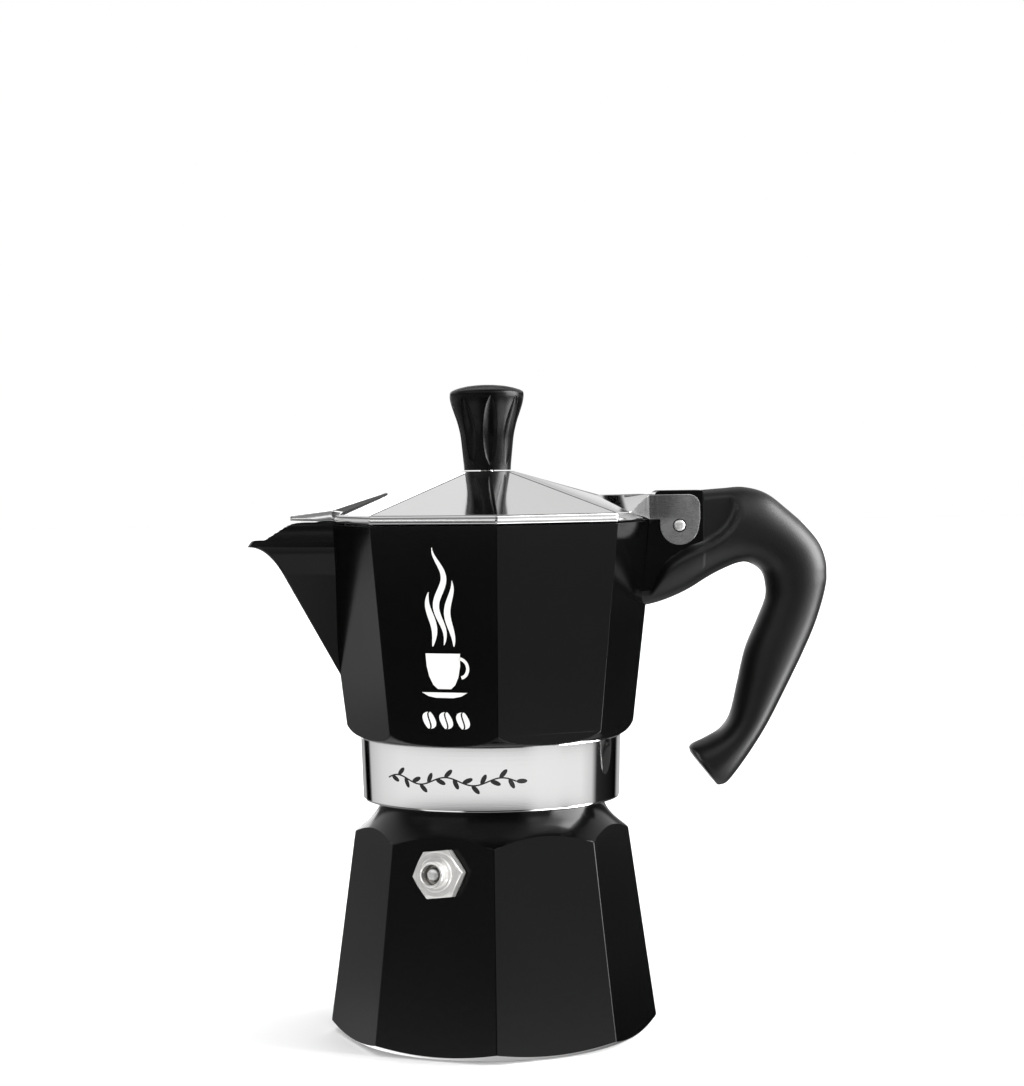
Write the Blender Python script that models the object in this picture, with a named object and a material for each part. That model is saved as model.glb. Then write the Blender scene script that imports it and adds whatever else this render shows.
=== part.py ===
"""Octagonal stovetop moka pot, in metres, +Z up.

The origin is the centre of the boiler's flat foot. The pot stands on Z = 0, its handle
points along +X and its spout along -X. Corners of the octagon lie on the X and Y axes.
"""
import math

import bmesh
import bpy
from mathutils import Matrix, Vector

MM = 0.001
GAP = 0.3 * MM                     # clearance between two pieces that touch in the real pot

# Fineness
ROUND = 40                         # sides of a large turned piece
SMALL_ROUND = 20                   # sides of a pin, screw or tube
FACETS = 8                         # sides of both vessels
HALF_FACET = math.pi / FACETS

# Boiler
BASE_CORNER_R = 44.0 * MM          # corner radius at the top of the turned foot
FOOT_HEIGHT = 2.5 * MM
FOOT_SLOPE = 0.54                  # rise over run of the turned foot
BOILER_HEIGHT = 53.9 * MM          # height of the upper octagon corners
SHOULDER_CORNER_R = 36.9 * MM
SHOULDER_RISE = 8.3 * MM           # concave turned shoulder above those corners
NECK_R = 30.1 * MM
NECK_WALL = 2.6 * MM
BOILER_WALL = 3.0 * MM
BOILER_FLOOR = 3.5 * MM
NECK_SHOWN = 9.0 * MM              # shoulder and neck left visible under the collar
BOILER_TURN = math.radians(-2.0)   # the boiler stops this far from the collector's facets

# Thread between boiler and collar, right-handed
PITCH = 3.0 * MM
THREAD_DEPTH = 1.3 * MM
THREAD_ROOT_WIDTH = 1.4 * MM
THREAD_CREST_WIDTH = 0.5 * MM
THREAD_TURNS = 2.4
THREAD_CLEARANCE = 0.5 * MM        # radial, crest to root
THREAD_BURIED = 0.35 * MM          # how far a ridge is sunk in its wall

# Collar and collector
BAND_HEIGHT = 16.9 * MM
COLLAR_WALL = 2.55 * MM
BAND_FLARE = 0.5 * MM              # the band is this much wider at its top
SKIRT_RISE = 2.9 * MM              # turned curve from the band to the octagon corners
COLLECTOR_LOW_R = 38.7 * MM
COLLECTOR_HEIGHT = 54.0 * MM
COLLECTOR_TOP_R = 45.1 * MM
COLLECTOR_WALL = 2.4 * MM
COLLECTOR_FLOOR = 2.3 * MM
DOME_INSET = 5.5 * MM              # coffee chamber under the floor, inside the gasket
DOME_RISE = 3.4 * MM

# Seal and basket
FLANGE = 0.8 * MM
GASKET = 3.0 * MM
GASKET_LIP = 2.0 * MM              # gasket inside the neck's bore
PLATE = 0.8 * MM
PLATE_DOME = 1.4 * MM
SHEET = 0.8 * MM                   # wall of the basket
BASKET_CLEARANCE = 0.5 * MM
BASKET_DEPTH = 21.0 * MM
CONE_DROP = 8.0 * MM
STEM_R = 4.0 * MM
STEM_FLOOR_GAP = 5.5 * MM          # stem end above the boiler's floor
LEDGE = 1.4 * MM                   # ledge that carries the screen
SIEVE_HOLE_R = 0.9 * MM
SIEVE_STEP = 5.8 * MM

# Column
COLUMN_SPIGOT_R = 6.2 * MM
COLUMN_FOOT_R = 9.0 * MM
COLUMN_FOOT = 1.5 * MM
COLUMN_LOW_R = 6.8 * MM
COLUMN_TOP_R = 5.0 * MM
COLUMN_HEIGHT = 32.0 * MM
COLUMN_BORE_R = 3.4 * MM
COLUMN_SLOT = 3.6 * MM

# Spout
SPOUT_RISE_START = 13.0 * MM       # where the keel leaves the corner, above the corner's foot
SPOUT_LEAN_OUT = 10.0 * MM         # keel top beyond the collector's top corner
SPOUT_LEAN_DROP = 13.5 * MM        # keel top below the rim
SPOUT_REACH = 19.6 * MM            # tip beyond the collector's top corner
SPOUT_TIP_DROP = 5.9 * MM          # tip below the rim
SPOUT_LIP_START = 11.0 * MM        # where the flat lip begins, beyond the top corner
SPOUT_LIP_RAISE = 0.7 * MM
SPOUT_HALF = 8.7 * MM
SPOUT_NOSE = 1.3 * MM
SPOUT_TIP_HALF = 2.6 * MM
SPOUT_WALL = 1.6 * MM
SPOUT_ROOT = 3.9 * MM              # its solid starts this far inside the keel's foot

# Lug and hinge
PIN_OUT = 5.85 * MM                # hinge pin beyond the collector's top corner
PIN_DROP = 1.4 * MM                # hinge pin below the rim
PIN_R = 1.5 * MM
LUG_HALF = 4.9 * MM
LUG_RISE = 7.95 * MM               # lug top above the rim
LUG_LENGTH = 12.6 * MM             # lug beyond the collector's top corner
LUG_DEPTH = 19.0 * MM              # lug root below the rim
EAR = 1.6 * MM
EAR_RISE = 6.9 * MM                # ear top above the rim
EAR_LOBE_R = 5.2 * MM
EAR_REAR = 5.55 * MM
EAR_CORNER = 3.0 * MM
PIN_HEAD = 0.4 * MM

# Lid
LID_SHEET = 1.0 * MM
LID_RIM = 2.3 * MM
LID_RISE = 13.7 * MM               # apex plate above the collector's rim
APEX_R = 7.0 * MM
COVER_FRONT = 8.0 * MM             # spout cover beyond the top corner
COVER_HALF = 9.6 * MM
COVER_SHOULDER = 3.4 * MM          # cover's side corners inside the top corner
COVER_RIDGE_START = 26.8 * MM
TONGUE_RISE = 7.0 * MM
TONGUE_START = 28.0 * MM
TONGUE_END = 5.0 * MM              # plate's end inside the collector's top corner
TONGUE_FLARE = 22.0 * MM

# Knob
KNOB_FOOT_R = 6.3 * MM
KNOB_RIM_R = 9.95 * MM
KNOB_HEIGHT = 22.9 * MM
KNOB_CROWN = 2.0 * MM
KNOB_FLUTES = 8
FLUTE_TURN = math.radians(4.0)     # the front flute stops this far toward the handle
FLUTE_DEPTH = 1.1 * MM
SCREW_R = 1.8 * MM
SCREW_HEAD_R = 4.0 * MM
SCREW_HEAD = 2.0 * MM
SCREW_IN_KNOB = 11.0 * MM
WASHER_R = 5.2 * MM
WASHER = 0.8 * MM

# Valve
VALVE_Z = 47.1 * MM
VALVE_TUBE_R = 3.4 * MM
VALVE_BORE_R = 2.6 * MM
VALVE_OUT = 7.6 * MM               # tube end beyond the facet
VALVE_FLANGE_R = 5.6 * MM
VALVE_FLANGE = 1.5 * MM
VALVE_WASHER = 1.0 * MM
VALVE_SEAT_IN = 2.0 * MM           # seat inside the facet plane
VALVE_PORT_R = 1.2 * MM
NUT_FLATS = 12.0 * MM
NUT_HEIGHT = 3.5 * MM
NUT_TURN = math.radians(7.0)
PLUNGER_R = 1.5 * MM
PLUNGER_HEAD_R = 2.3 * MM
PLUNGER_HEAD = 0.8 * MM
PLUNGER_RECESS = 1.0 * MM
RETAINER = 0.7 * MM
RETAINER_DEPTH = 3.0 * MM
SPRING_WIRE_R = 0.22 * MM
SPRING_TURNS = 4

# Handle
HANDLE_HALF = 8.0 * MM
HANDLE_SQUARENESS = 2.6            # exponent of its rounded section
ARM_UNDER = 4.0 * MM               # handle under the lug's root
HANDLE_PIN_R = 1.5 * MM
HANDLE_PIN_UP = 6.4 * MM           # cross pin above the lug's root
HANDLE_PIN_OUT = 6.4 * MM          # cross pin beyond the collector's top corner

# Heights and radii that follow from the sizes above
THREAD_SPAN = (THREAD_TURNS + 0.6) * PITCH
NECK_IN_COLLAR = THREAD_SPAN + PITCH / 2 + 1.6 * MM
BAND_LOW_Z = BOILER_HEIGHT + NECK_SHOWN
BAND_TOP_Z = BAND_LOW_Z + BAND_HEIGHT
COLLECTOR_LOW_Z = BAND_TOP_Z + SKIRT_RISE
RIM_Z = COLLECTOR_LOW_Z + COLLECTOR_HEIGHT
NECK_TOP_Z = BAND_LOW_Z + NECK_IN_COLLAR
NECK_BORE_R = NECK_R - NECK_WALL
THREAD_LOW_Z = NECK_TOP_Z - THREAD_SPAN
COLLAR_BORE_R = NECK_R + THREAD_DEPTH + THREAD_CLEARANCE
BAND_LOW_R = COLLAR_BORE_R + COLLAR_WALL
BAND_TOP_R = BAND_LOW_R + BAND_FLARE
GASKET_INNER_R = NECK_BORE_R - GASKET_LIP
DOME_R = GASKET_INNER_R - DOME_INSET
FLANGE_Z = NECK_TOP_Z + GAP
GASKET_Z = FLANGE_Z + FLANGE + GAP
PLATE_Z = GASKET_Z + GASKET + GAP
SEAT_Z = PLATE_Z + PLATE + GAP
FLOOR_Z = SEAT_Z + DOME_RISE + COLLECTOR_FLOOR
PLATE_R = COLLAR_BORE_R - THREAD_DEPTH - 2 * GAP
BASKET_R = NECK_BORE_R - BASKET_CLEARANCE
BASKET_LOW_Z = FLANGE_Z - BASKET_DEPTH
CORNER_X = COLLECTOR_TOP_R
PIN_X = CORNER_X + PIN_OUT
PIN_Z = RIM_Z - PIN_DROP
LUG_TOP_Z = RIM_Z + LUG_RISE
LUG_END_X = CORNER_X + LUG_LENGTH
LUG_LOW_Z = RIM_Z - LUG_DEPTH
LID_Z = RIM_Z + GAP
LID_TOP_Z = RIM_Z + LID_RISE
EAR_IN = LUG_HALF + 1.5 * GAP
EAR_OUT = EAR_IN + EAR


# ---------------------------------------------------------------- helpers
def clear_scene():
    """Remove whatever objects the file holds."""
    for item in list(bpy.data.objects):
        bpy.data.objects.remove(item, do_unlink=True)


def material(name, colour, metallic, roughness):
    """Return a Principled material."""
    made = bpy.data.materials.new(name)
    made.use_nodes = True
    shader = made.node_tree.nodes["Principled BSDF"]
    shader.inputs["Base Color"].default_value = (*colour, 1.0)
    shader.inputs["Metallic"].default_value = metallic
    shader.inputs["Roughness"].default_value = roughness
    return made


def finish(name, bm, look=None):
    """Turn a bmesh into a smooth-shaded object with outward faces."""
    bmesh.ops.remove_doubles(bm, verts=bm.verts, dist=1e-7)
    bmesh.ops.recalc_face_normals(bm, faces=bm.faces)
    mesh = bpy.data.meshes.new(name)
    bm.to_mesh(mesh)
    bm.free()
    mesh.shade_smooth()
    mesh.set_sharp_from_angle(angle=math.radians(30.0))
    made = bpy.data.objects.new(name, mesh)
    bpy.context.scene.collection.objects.link(made)
    if look is not None:
        mesh.materials.append(look)
    return made


def turned(name, profile, look=None, sides=ROUND, ring=False):
    """Spin a profile of (radius, height) points about Z.

    A ring's profile closes on itself; any other profile starts and ends on the axis.
    """
    bm = bmesh.new()
    verts = [bm.verts.new((radius, 0.0, height)) for radius, height in profile]
    edges = [bm.edges.new(pair) for pair in zip(verts, verts[1:])]
    if ring:
        edges.append(bm.edges.new((verts[-1], verts[0])))
    bmesh.ops.spin(bm, geom=verts + edges, cent=(0, 0, 0), axis=(0, 0, 1),
                   angle=math.tau, steps=sides, use_merge=True)
    return finish(name, bm, look)


def loft(name, rings, look=None):
    """Bridge rings of equal length and cap both ends."""
    bm = bmesh.new()
    rows = [[bm.verts.new(point) for point in ring] for ring in rings]
    for low, high in zip(rows, rows[1:]):
        for index, corner in enumerate(low):
            after = (index + 1) % len(low)
            bm.faces.new((corner, low[after], high[after], high[index]))
    bm.faces.new(reversed(rows[0]))
    bm.faces.new(rows[-1])
    return finish(name, bm, look)


def plate_y(name, outline, y_low, y_high, look=None):
    """Extrude an XZ outline along Y."""
    rings = [[(x, y, z) for x, z in outline] for y in (y_low, y_high)]
    return loft(name, rings, look)


def hull(name, points, look=None):
    """Convex hull of points."""
    bm = bmesh.new()
    for point in points:
        bm.verts.new(point)
    bmesh.ops.convex_hull(bm, input=bm.verts, use_existing_faces=False)
    bmesh.ops.dissolve_limit(bm, angle_limit=math.radians(0.1), verts=bm.verts,
                             edges=bm.edges)
    return finish(name, bm, look)


def rod(name, radius, low, high, look=None, sides=SMALL_ROUND):
    """Solid cylinder along local Z."""
    return turned(name, [(0, low), (radius, low), (radius, high), (0, high)], look, sides)


def octagon(corner_r, z, turn=0.0):
    """Corners of a level octagon, the first one toward +X."""
    step = math.tau / FACETS
    return [(corner_r * math.cos(k * step + turn), corner_r * math.sin(k * step + turn), z)
            for k in range(FACETS)]


def along(value, low, high):
    """Linear value through two (height, radius) points, also beyond them."""
    share = (value - low[0]) / (high[0] - low[0])
    return low[1] + share * (high[1] - low[1])


def bezier(points, steps):
    """Points of a quadratic curve with three control points."""
    start, middle, end = (Vector(point) for point in points)
    shares = [index / steps for index in range(steps + 1)]
    return [(1 - t) ** 2 * start + 2 * t * (1 - t) * middle + t ** 2 * end for t in shares]


def boolean(target, other, operation):
    """Combine with another object, which stays in the file as a hidden guide."""
    step = target.modifiers.new(operation.title(), "BOOLEAN")
    step.operation = operation
    step.solver = "EXACT"
    step.object = other
    other.hide_render = True
    other.display_type = "WIRE"


def cut(target, *cutters):
    """Subtract each cutter from the target."""
    for cutter in cutters:
        boolean(target, cutter, "DIFFERENCE")


def add(target, *pieces):
    """Unite each piece with the target."""
    for piece in pieces:
        boolean(target, piece, "UNION")


def thread(name, root_r, toward, low_z, turns):
    """Helical ridge on a wall of radius root_r, rising toward +1 out or -1 in."""
    steps = round(turns * ROUND)
    fade = ROUND // 8
    rings = []
    for index in range(steps + 1):
        angle = math.tau * (index + 0.5) / ROUND
        full = min(1.0, index / fade, (steps - index) / fade)
        depth = THREAD_DEPTH * full - 0.5 * THREAD_BURIED * (1 - full)
        centre = low_z + PITCH * index / ROUND
        foot = root_r - toward * THREAD_BURIED
        crest = root_r + toward * depth
        section = [(foot, -THREAD_ROOT_WIDTH / 2), (crest, -THREAD_CREST_WIDTH / 2),
                   (crest, THREAD_CREST_WIDTH / 2), (foot, THREAD_ROOT_WIDTH / 2)]
        rings.append([(radius * math.cos(angle), radius * math.sin(angle), centre + rise)
                      for radius, rise in section])
    return loft(name, rings)


def sieve_holes(name, radius, low, high):
    """Hexagonal grid of small cutters inside a radius."""
    bm = bmesh.new()
    rows = int(radius / SIEVE_STEP) + 1
    for row in range(-rows, rows + 1):
        for column in range(-rows, rows + 1):
            x = (column + 0.5 * (row % 2)) * SIEVE_STEP
            y = row * SIEVE_STEP * math.sqrt(3) / 2
            if math.hypot(x, y) < radius - 2 * SIEVE_HOLE_R:
                place = Matrix.Translation((x, y, (low + high) / 2))
                bmesh.ops.create_cone(bm, cap_ends=True, segments=6, radius1=SIEVE_HOLE_R,
                                      radius2=SIEVE_HOLE_R, depth=high - low, matrix=place)
    return finish(name, bm)


# ---------------------------------------------------------------- boiler
def boiler_corner(z):
    """Corner radius of the boiler's octagon at a height."""
    return along(z, (FOOT_HEIGHT, BASE_CORNER_R), (BOILER_HEIGHT, SHOULDER_CORNER_R))


def boiler_inside(z):
    """Radius of the round inside at a height."""
    return boiler_corner(z) * math.cos(HALF_FACET) - BOILER_WALL


def shoulder_profile():
    """Concave turned shoulder from outside the octagon up to the neck."""
    start = (SHOULDER_CORNER_R, BOILER_HEIGHT)
    run = SHOULDER_CORNER_R - NECK_R
    bend = (NECK_R + 0.1 * run, BOILER_HEIGHT + 0.5 * SHOULDER_RISE)
    end = (NECK_R, BOILER_HEIGHT + SHOULDER_RISE)
    return [tuple(point) for point in bezier((start, bend, end), 7)]


def make_boiler(look):
    """Octagonal vessel with a turned foot, shoulder and threaded neck."""
    over = 1.2
    body = loft("boiler", [octagon(boiler_corner(-MM), -MM, BOILER_TURN),
                           octagon(boiler_corner(NECK_TOP_Z), NECK_TOP_Z + MM, BOILER_TURN)],
                look)
    wide = over * BASE_CORNER_R
    foot_r = BASE_CORNER_R - FOOT_HEIGHT / FOOT_SLOPE
    shoulder = shoulder_profile()
    slope = (shoulder[1][1] - shoulder[0][1]) / (shoulder[0][0] - shoulder[1][0])
    skirt_z = shoulder[0][1] - slope * (wide - shoulder[0][0])
    envelope = [(0, 0), (foot_r, 0), (wide, (wide - foot_r) * FOOT_SLOPE), (wide, skirt_z)]
    envelope += shoulder
    envelope += [(NECK_R, NECK_TOP_Z - MM / 2), (NECK_R - MM / 2, NECK_TOP_Z), (0, NECK_TOP_Z)]
    boolean(body, turned("boiler_turning", envelope), "INTERSECT")

    add(body, thread("boiler_thread", NECK_R, 1, THREAD_LOW_Z, THREAD_TURNS))

    fillet = 2.0 * MM
    top = BOILER_HEIGHT - 1.0 * MM
    inside = [(0, BOILER_FLOOR), (boiler_inside(BOILER_FLOOR) - fillet, BOILER_FLOOR),
              (boiler_inside(BOILER_FLOOR + fillet), BOILER_FLOOR + fillet),
              (boiler_inside(top), top), (NECK_BORE_R, top + 4.5 * MM),
              (NECK_BORE_R, NECK_TOP_Z + MM), (0, NECK_TOP_Z + MM)]
    cut(body, turned("boiler_inside", inside))
    hole = rod("valve_hole", VALVE_TUBE_R + GAP, -3 * BOILER_WALL, 3 * BOILER_WALL)
    hole.matrix_world = valve_matrix()
    cut(body, hole)
    return body


# ---------------------------------------------------------------- valve
def valve_matrix():
    """Frame of the valve: +Z along its axis, origin on the facet's plane."""
    corners = octagon(boiler_corner(VALVE_Z), VALVE_Z, BOILER_TURN)
    first, second = Vector(corners[5]), Vector(corners[6])
    middle = (first + second) / 2
    lower = octagon(boiler_corner(0), 0, BOILER_TURN)
    up_wall = (middle - (Vector(lower[5]) + Vector(lower[6])) / 2).normalized()
    across = (second - first).normalized()
    outward = across.cross(up_wall).normalized()
    turn = Matrix((across, up_wall, outward)).transposed().to_4x4()
    return Matrix.Translation(middle) @ turn


def make_valve(nickel, brass, steel, rubber):
    """Pressure valve: body, nut, washer, plunger, spring and retaining ring."""
    frame = valve_matrix()
    inner_r = boiler_inside(VALVE_Z)
    sag = inner_r - math.sqrt(inner_r ** 2 - VALVE_FLANGE_R ** 2)
    washer_top = -(BOILER_WALL + sag + GAP)
    flange_top = washer_top - VALVE_WASHER - GAP
    flange_low = flange_top - VALVE_FLANGE

    body = turned("valve_body", [
        (VALVE_PORT_R, flange_low), (VALVE_FLANGE_R, flange_low), (VALVE_FLANGE_R, flange_top),
        (VALVE_TUBE_R, flange_top), (VALVE_TUBE_R, VALVE_OUT - GAP),
        (VALVE_TUBE_R - GAP, VALVE_OUT), (VALVE_BORE_R, VALVE_OUT),
        (VALVE_BORE_R, -VALVE_SEAT_IN), (VALVE_PORT_R, -VALVE_SEAT_IN - MM)],
        brass, SMALL_ROUND, ring=True)
    washer = turned("valve_washer", [
        (VALVE_TUBE_R + GAP, washer_top - VALVE_WASHER), (VALVE_FLANGE_R, washer_top - VALVE_WASHER),
        (VALVE_FLANGE_R, washer_top), (VALVE_TUBE_R + GAP, washer_top)],
        rubber, SMALL_ROUND, ring=True)

    head_low = -VALVE_SEAT_IN + GAP
    head_top = head_low + PLUNGER_HEAD
    plunger = turned("valve_plunger", [
        (0, head_low), (PLUNGER_HEAD_R, head_low), (PLUNGER_HEAD_R, head_top),
        (PLUNGER_R, head_top), (PLUNGER_R, VALVE_OUT - PLUNGER_RECESS - GAP),
        (PLUNGER_R - GAP, VALVE_OUT - PLUNGER_RECESS), (0, VALVE_OUT - PLUNGER_RECESS)],
        steel, SMALL_ROUND)
    ring_top = VALVE_OUT - RETAINER_DEPTH
    ring_low = ring_top - RETAINER
    retainer = turned("valve_retainer", [
        (PLUNGER_R + GAP, ring_low), (VALVE_BORE_R - GAP / 2, ring_low),
        (VALVE_BORE_R - GAP / 2, ring_top), (PLUNGER_R + GAP, ring_top)],
        brass, SMALL_ROUND, ring=True)
    spring = make_spring(head_top, ring_low, steel)
    make_nut(nickel, frame)
    for piece in (body, washer, plunger, retainer, spring):
        piece.matrix_world = frame


def make_nut(look, frame):
    """Hexagon nut whose outer corners are turned off."""
    corner = NUT_FLATS / 2 / math.cos(math.pi / 6)
    hexagon = [(corner * math.cos(k * math.pi / 3 + NUT_TURN),
                corner * math.sin(k * math.pi / 3 + NUT_TURN)) for k in range(6)]
    nut = loft("valve_nut", [[(x, y, z) for x, y in hexagon]
                             for z in (GAP, GAP + NUT_HEIGHT)], look)
    bevel = 0.8 * MM
    high = GAP + NUT_HEIGHT
    wide = 1.3 * corner
    slope = 0.6
    face_r = corner - bevel / slope
    turning = turned("nut_turning", [(0, 0), (wide, 0), (wide, high - (wide - face_r) * slope),
                                     (face_r, high), (0, high)], sides=SMALL_ROUND + 4)
    bore = rod("nut_bore", VALVE_TUBE_R + GAP, -MM, high + MM)
    boolean(nut, turning, "INTERSECT")
    cut(nut, bore)
    for piece in (nut, turning, bore):
        piece.matrix_world = frame


def make_spring(low, high, look):
    """Coil spring round the plunger."""
    mean_r = PLUNGER_R + GAP + SPRING_WIRE_R
    start = low + GAP + SPRING_WIRE_R
    length = high - low - 2 * (GAP + SPRING_WIRE_R)
    per_turn, sides = 14, 5
    steps = SPRING_TURNS * per_turn
    rings = []
    for index in range(steps + 1):
        angle = math.tau * index / per_turn
        out = Vector((math.cos(angle), math.sin(angle), 0))
        centre = out * mean_r + Vector((0, 0, start + length * index / steps))
        rings.append([centre + SPRING_WIRE_R * (out * math.cos(a) + Vector((0, 0, math.sin(a))))
                      for a in (math.tau * side / sides for side in range(sides))])
    return loft("valve_spring", rings, look)


# ---------------------------------------------------------------- basket and seal
def make_funnel(aluminium):
    """Coffee basket with its flange, cone and stem, and the screen inside it."""
    flange_r = NECK_R - 0.5 * MM
    cone_low = BASKET_LOW_Z - CONE_DROP
    stem_low = BOILER_FLOOR + STEM_FLOOR_GAP
    inner_r = BASKET_R - SHEET
    bore_r = STEM_R - SHEET
    profile = [(STEM_R, stem_low), (STEM_R, cone_low), (BASKET_R, BASKET_LOW_Z),
               (BASKET_R, FLANGE_Z), (flange_r, FLANGE_Z), (flange_r, FLANGE_Z + FLANGE),
               (inner_r, FLANGE_Z + FLANGE), (inner_r, BASKET_LOW_Z + SHEET),
               (inner_r - LEDGE, BASKET_LOW_Z + SHEET), (bore_r, cone_low + SHEET),
               (bore_r, stem_low)]
    turned("funnel", profile, aluminium, ring=True)
    screen_low = BASKET_LOW_Z + SHEET + GAP
    screen = rod("funnel_screen", inner_r - GAP, screen_low, screen_low + SHEET,
                 aluminium, ROUND)
    cut(screen, sieve_holes("screen_holes", inner_r - LEDGE, screen_low - MM,
                            screen_low + SHEET + MM))


def make_seal(rubber, aluminium):
    """Rubber gasket and the domed filter plate above it."""
    outer_r = COLLAR_BORE_R - GAP
    top = GASKET_Z + GASKET
    turned("gasket", [(GASKET_INNER_R, GASKET_Z), (outer_r, GASKET_Z), (outer_r, top),
                      (GASKET_INNER_R, top)], rubber, ring=True)
    crown = DOME_R - 2 * MM
    plate = turned("filter_plate", [
        (0, PLATE_Z + PLATE_DOME), (crown, PLATE_Z + PLATE_DOME), (DOME_R + MM, PLATE_Z),
        (PLATE_R, PLATE_Z), (PLATE_R, PLATE_Z + PLATE), (DOME_R + MM, PLATE_Z + PLATE),
        (crown, PLATE_Z + PLATE_DOME + PLATE), (0, PLATE_Z + PLATE_DOME + PLATE)], aluminium)
    cut(plate, sieve_holes("plate_holes", crown, PLATE_Z, PLATE_Z + 2 * PLATE_DOME + PLATE))


# ---------------------------------------------------------------- collector
def collector_corner(z):
    """Corner radius of the collector's octagon at a height."""
    return along(z, (COLLECTOR_LOW_Z, COLLECTOR_LOW_R), (RIM_Z, COLLECTOR_TOP_R))


def skirt_profile():
    """Convex turned curve from the band up to the octagon's corners."""
    start = (BAND_TOP_R, BAND_TOP_Z)
    bend = (COLLECTOR_LOW_R - 1.2 * MM, BAND_TOP_Z + 0.25 * SKIRT_RISE)
    end = (COLLECTOR_LOW_R, COLLECTOR_LOW_Z)
    return [tuple(point) for point in bezier((start, bend, end), 5)]


def spout_keel():
    """Outer edge of the spout as (x, z), from the corner up to the tip and over the lip."""
    foot_z = COLLECTOR_LOW_Z + SPOUT_RISE_START
    foot = (-collector_corner(foot_z) + 0.3 * MM, foot_z)
    lean = (-CORNER_X - SPOUT_LEAN_OUT, RIM_Z - SPOUT_LEAN_DROP)
    tip = (-CORNER_X - SPOUT_REACH, RIM_Z - SPOUT_TIP_DROP)
    slope = (lean[0] - foot[0]) / (lean[1] - foot[1])
    bend = (lean[0] + slope * (tip[1] - lean[1]), tip[1])
    lip = (-CORNER_X - SPOUT_LIP_START, RIM_Z + SPOUT_LIP_RAISE)
    over = (0.5 * (tip[0] + lip[0]), lip[1])
    rise = [tuple(point) for point in bezier((lean, bend, tip), 6)]
    crown = [tuple(point) for point in bezier((tip, over, lip), 5)]
    return [foot] + rise + crown[1:]


def spout_half(z):
    """Half width of the spout where it meets the corner's facets."""
    foot_z = COLLECTOR_LOW_Z + SPOUT_RISE_START
    return max(0.1 * MM, SPOUT_HALF * (z - foot_z) / (RIM_Z - foot_z))


def spout_section(x_nose, nose, half, x_back, z):
    """Wedge-shaped level section of the spout, widening toward the pot."""
    x_side = -CORNER_X + SPOUT_HALF * math.tan(HALF_FACET)
    run = max(x_side - x_nose, MM)
    back = nose + (half - nose) * (x_back - x_nose) / run
    return [(x_back, back, z), (x_nose, nose, z), (x_nose, -nose, z), (x_back, -back, z)]


def spout_nose(z):
    """Half width of the spout's keel, which widens toward the tip."""
    share = min(1.0, spout_half(z) / spout_half(RIM_Z - SPOUT_TIP_DROP))
    return min(spout_half(z), SPOUT_NOSE + (SPOUT_TIP_HALF - SPOUT_NOSE) * share ** 4)


def channel_keel(keel):
    """Floor of the spout's channel: the keel moved inward, then straight out over the tip."""
    foot, lean = keel[0], keel[1]
    start_z = foot[1] + (RIM_Z - foot[1]) * (SPOUT_WALL + 0.6 * MM) / SPOUT_HALF
    start = (along(start_z, foot[::-1], lean[::-1]), start_z)
    tip = min(keel)
    rise = [point for point in keel[1:] if point[1] <= tip[1]]
    floor = [(x + SPOUT_WALL, z + SPOUT_WALL) for x, z in [start] + rise]
    far = tip[0] - 5 * MM
    return floor + [(far, tip[1] + SPOUT_WALL + GAP), (far, RIM_Z + 3 * MM)]


def make_spout():
    """Outer solid of the spout and the cutter of its channel."""
    keel = spout_keel()
    x_back = keel[0][0] + SPOUT_ROOT
    solid = loft("spout_solid", [spout_section(x, spout_nose(z), spout_half(z), x_back, z)
                                 for x, z in keel])
    rings = []
    for x, z in channel_keel(keel):
        nose = max(0.3 * MM, spout_nose(z) - 0.6 * SPOUT_WALL)
        rings.append(spout_section(x, nose, spout_half(z) - SPOUT_WALL,
                                   x_back + 3 * SPOUT_ROOT, z))
    return solid, loft("spout_channel", rings)


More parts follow.
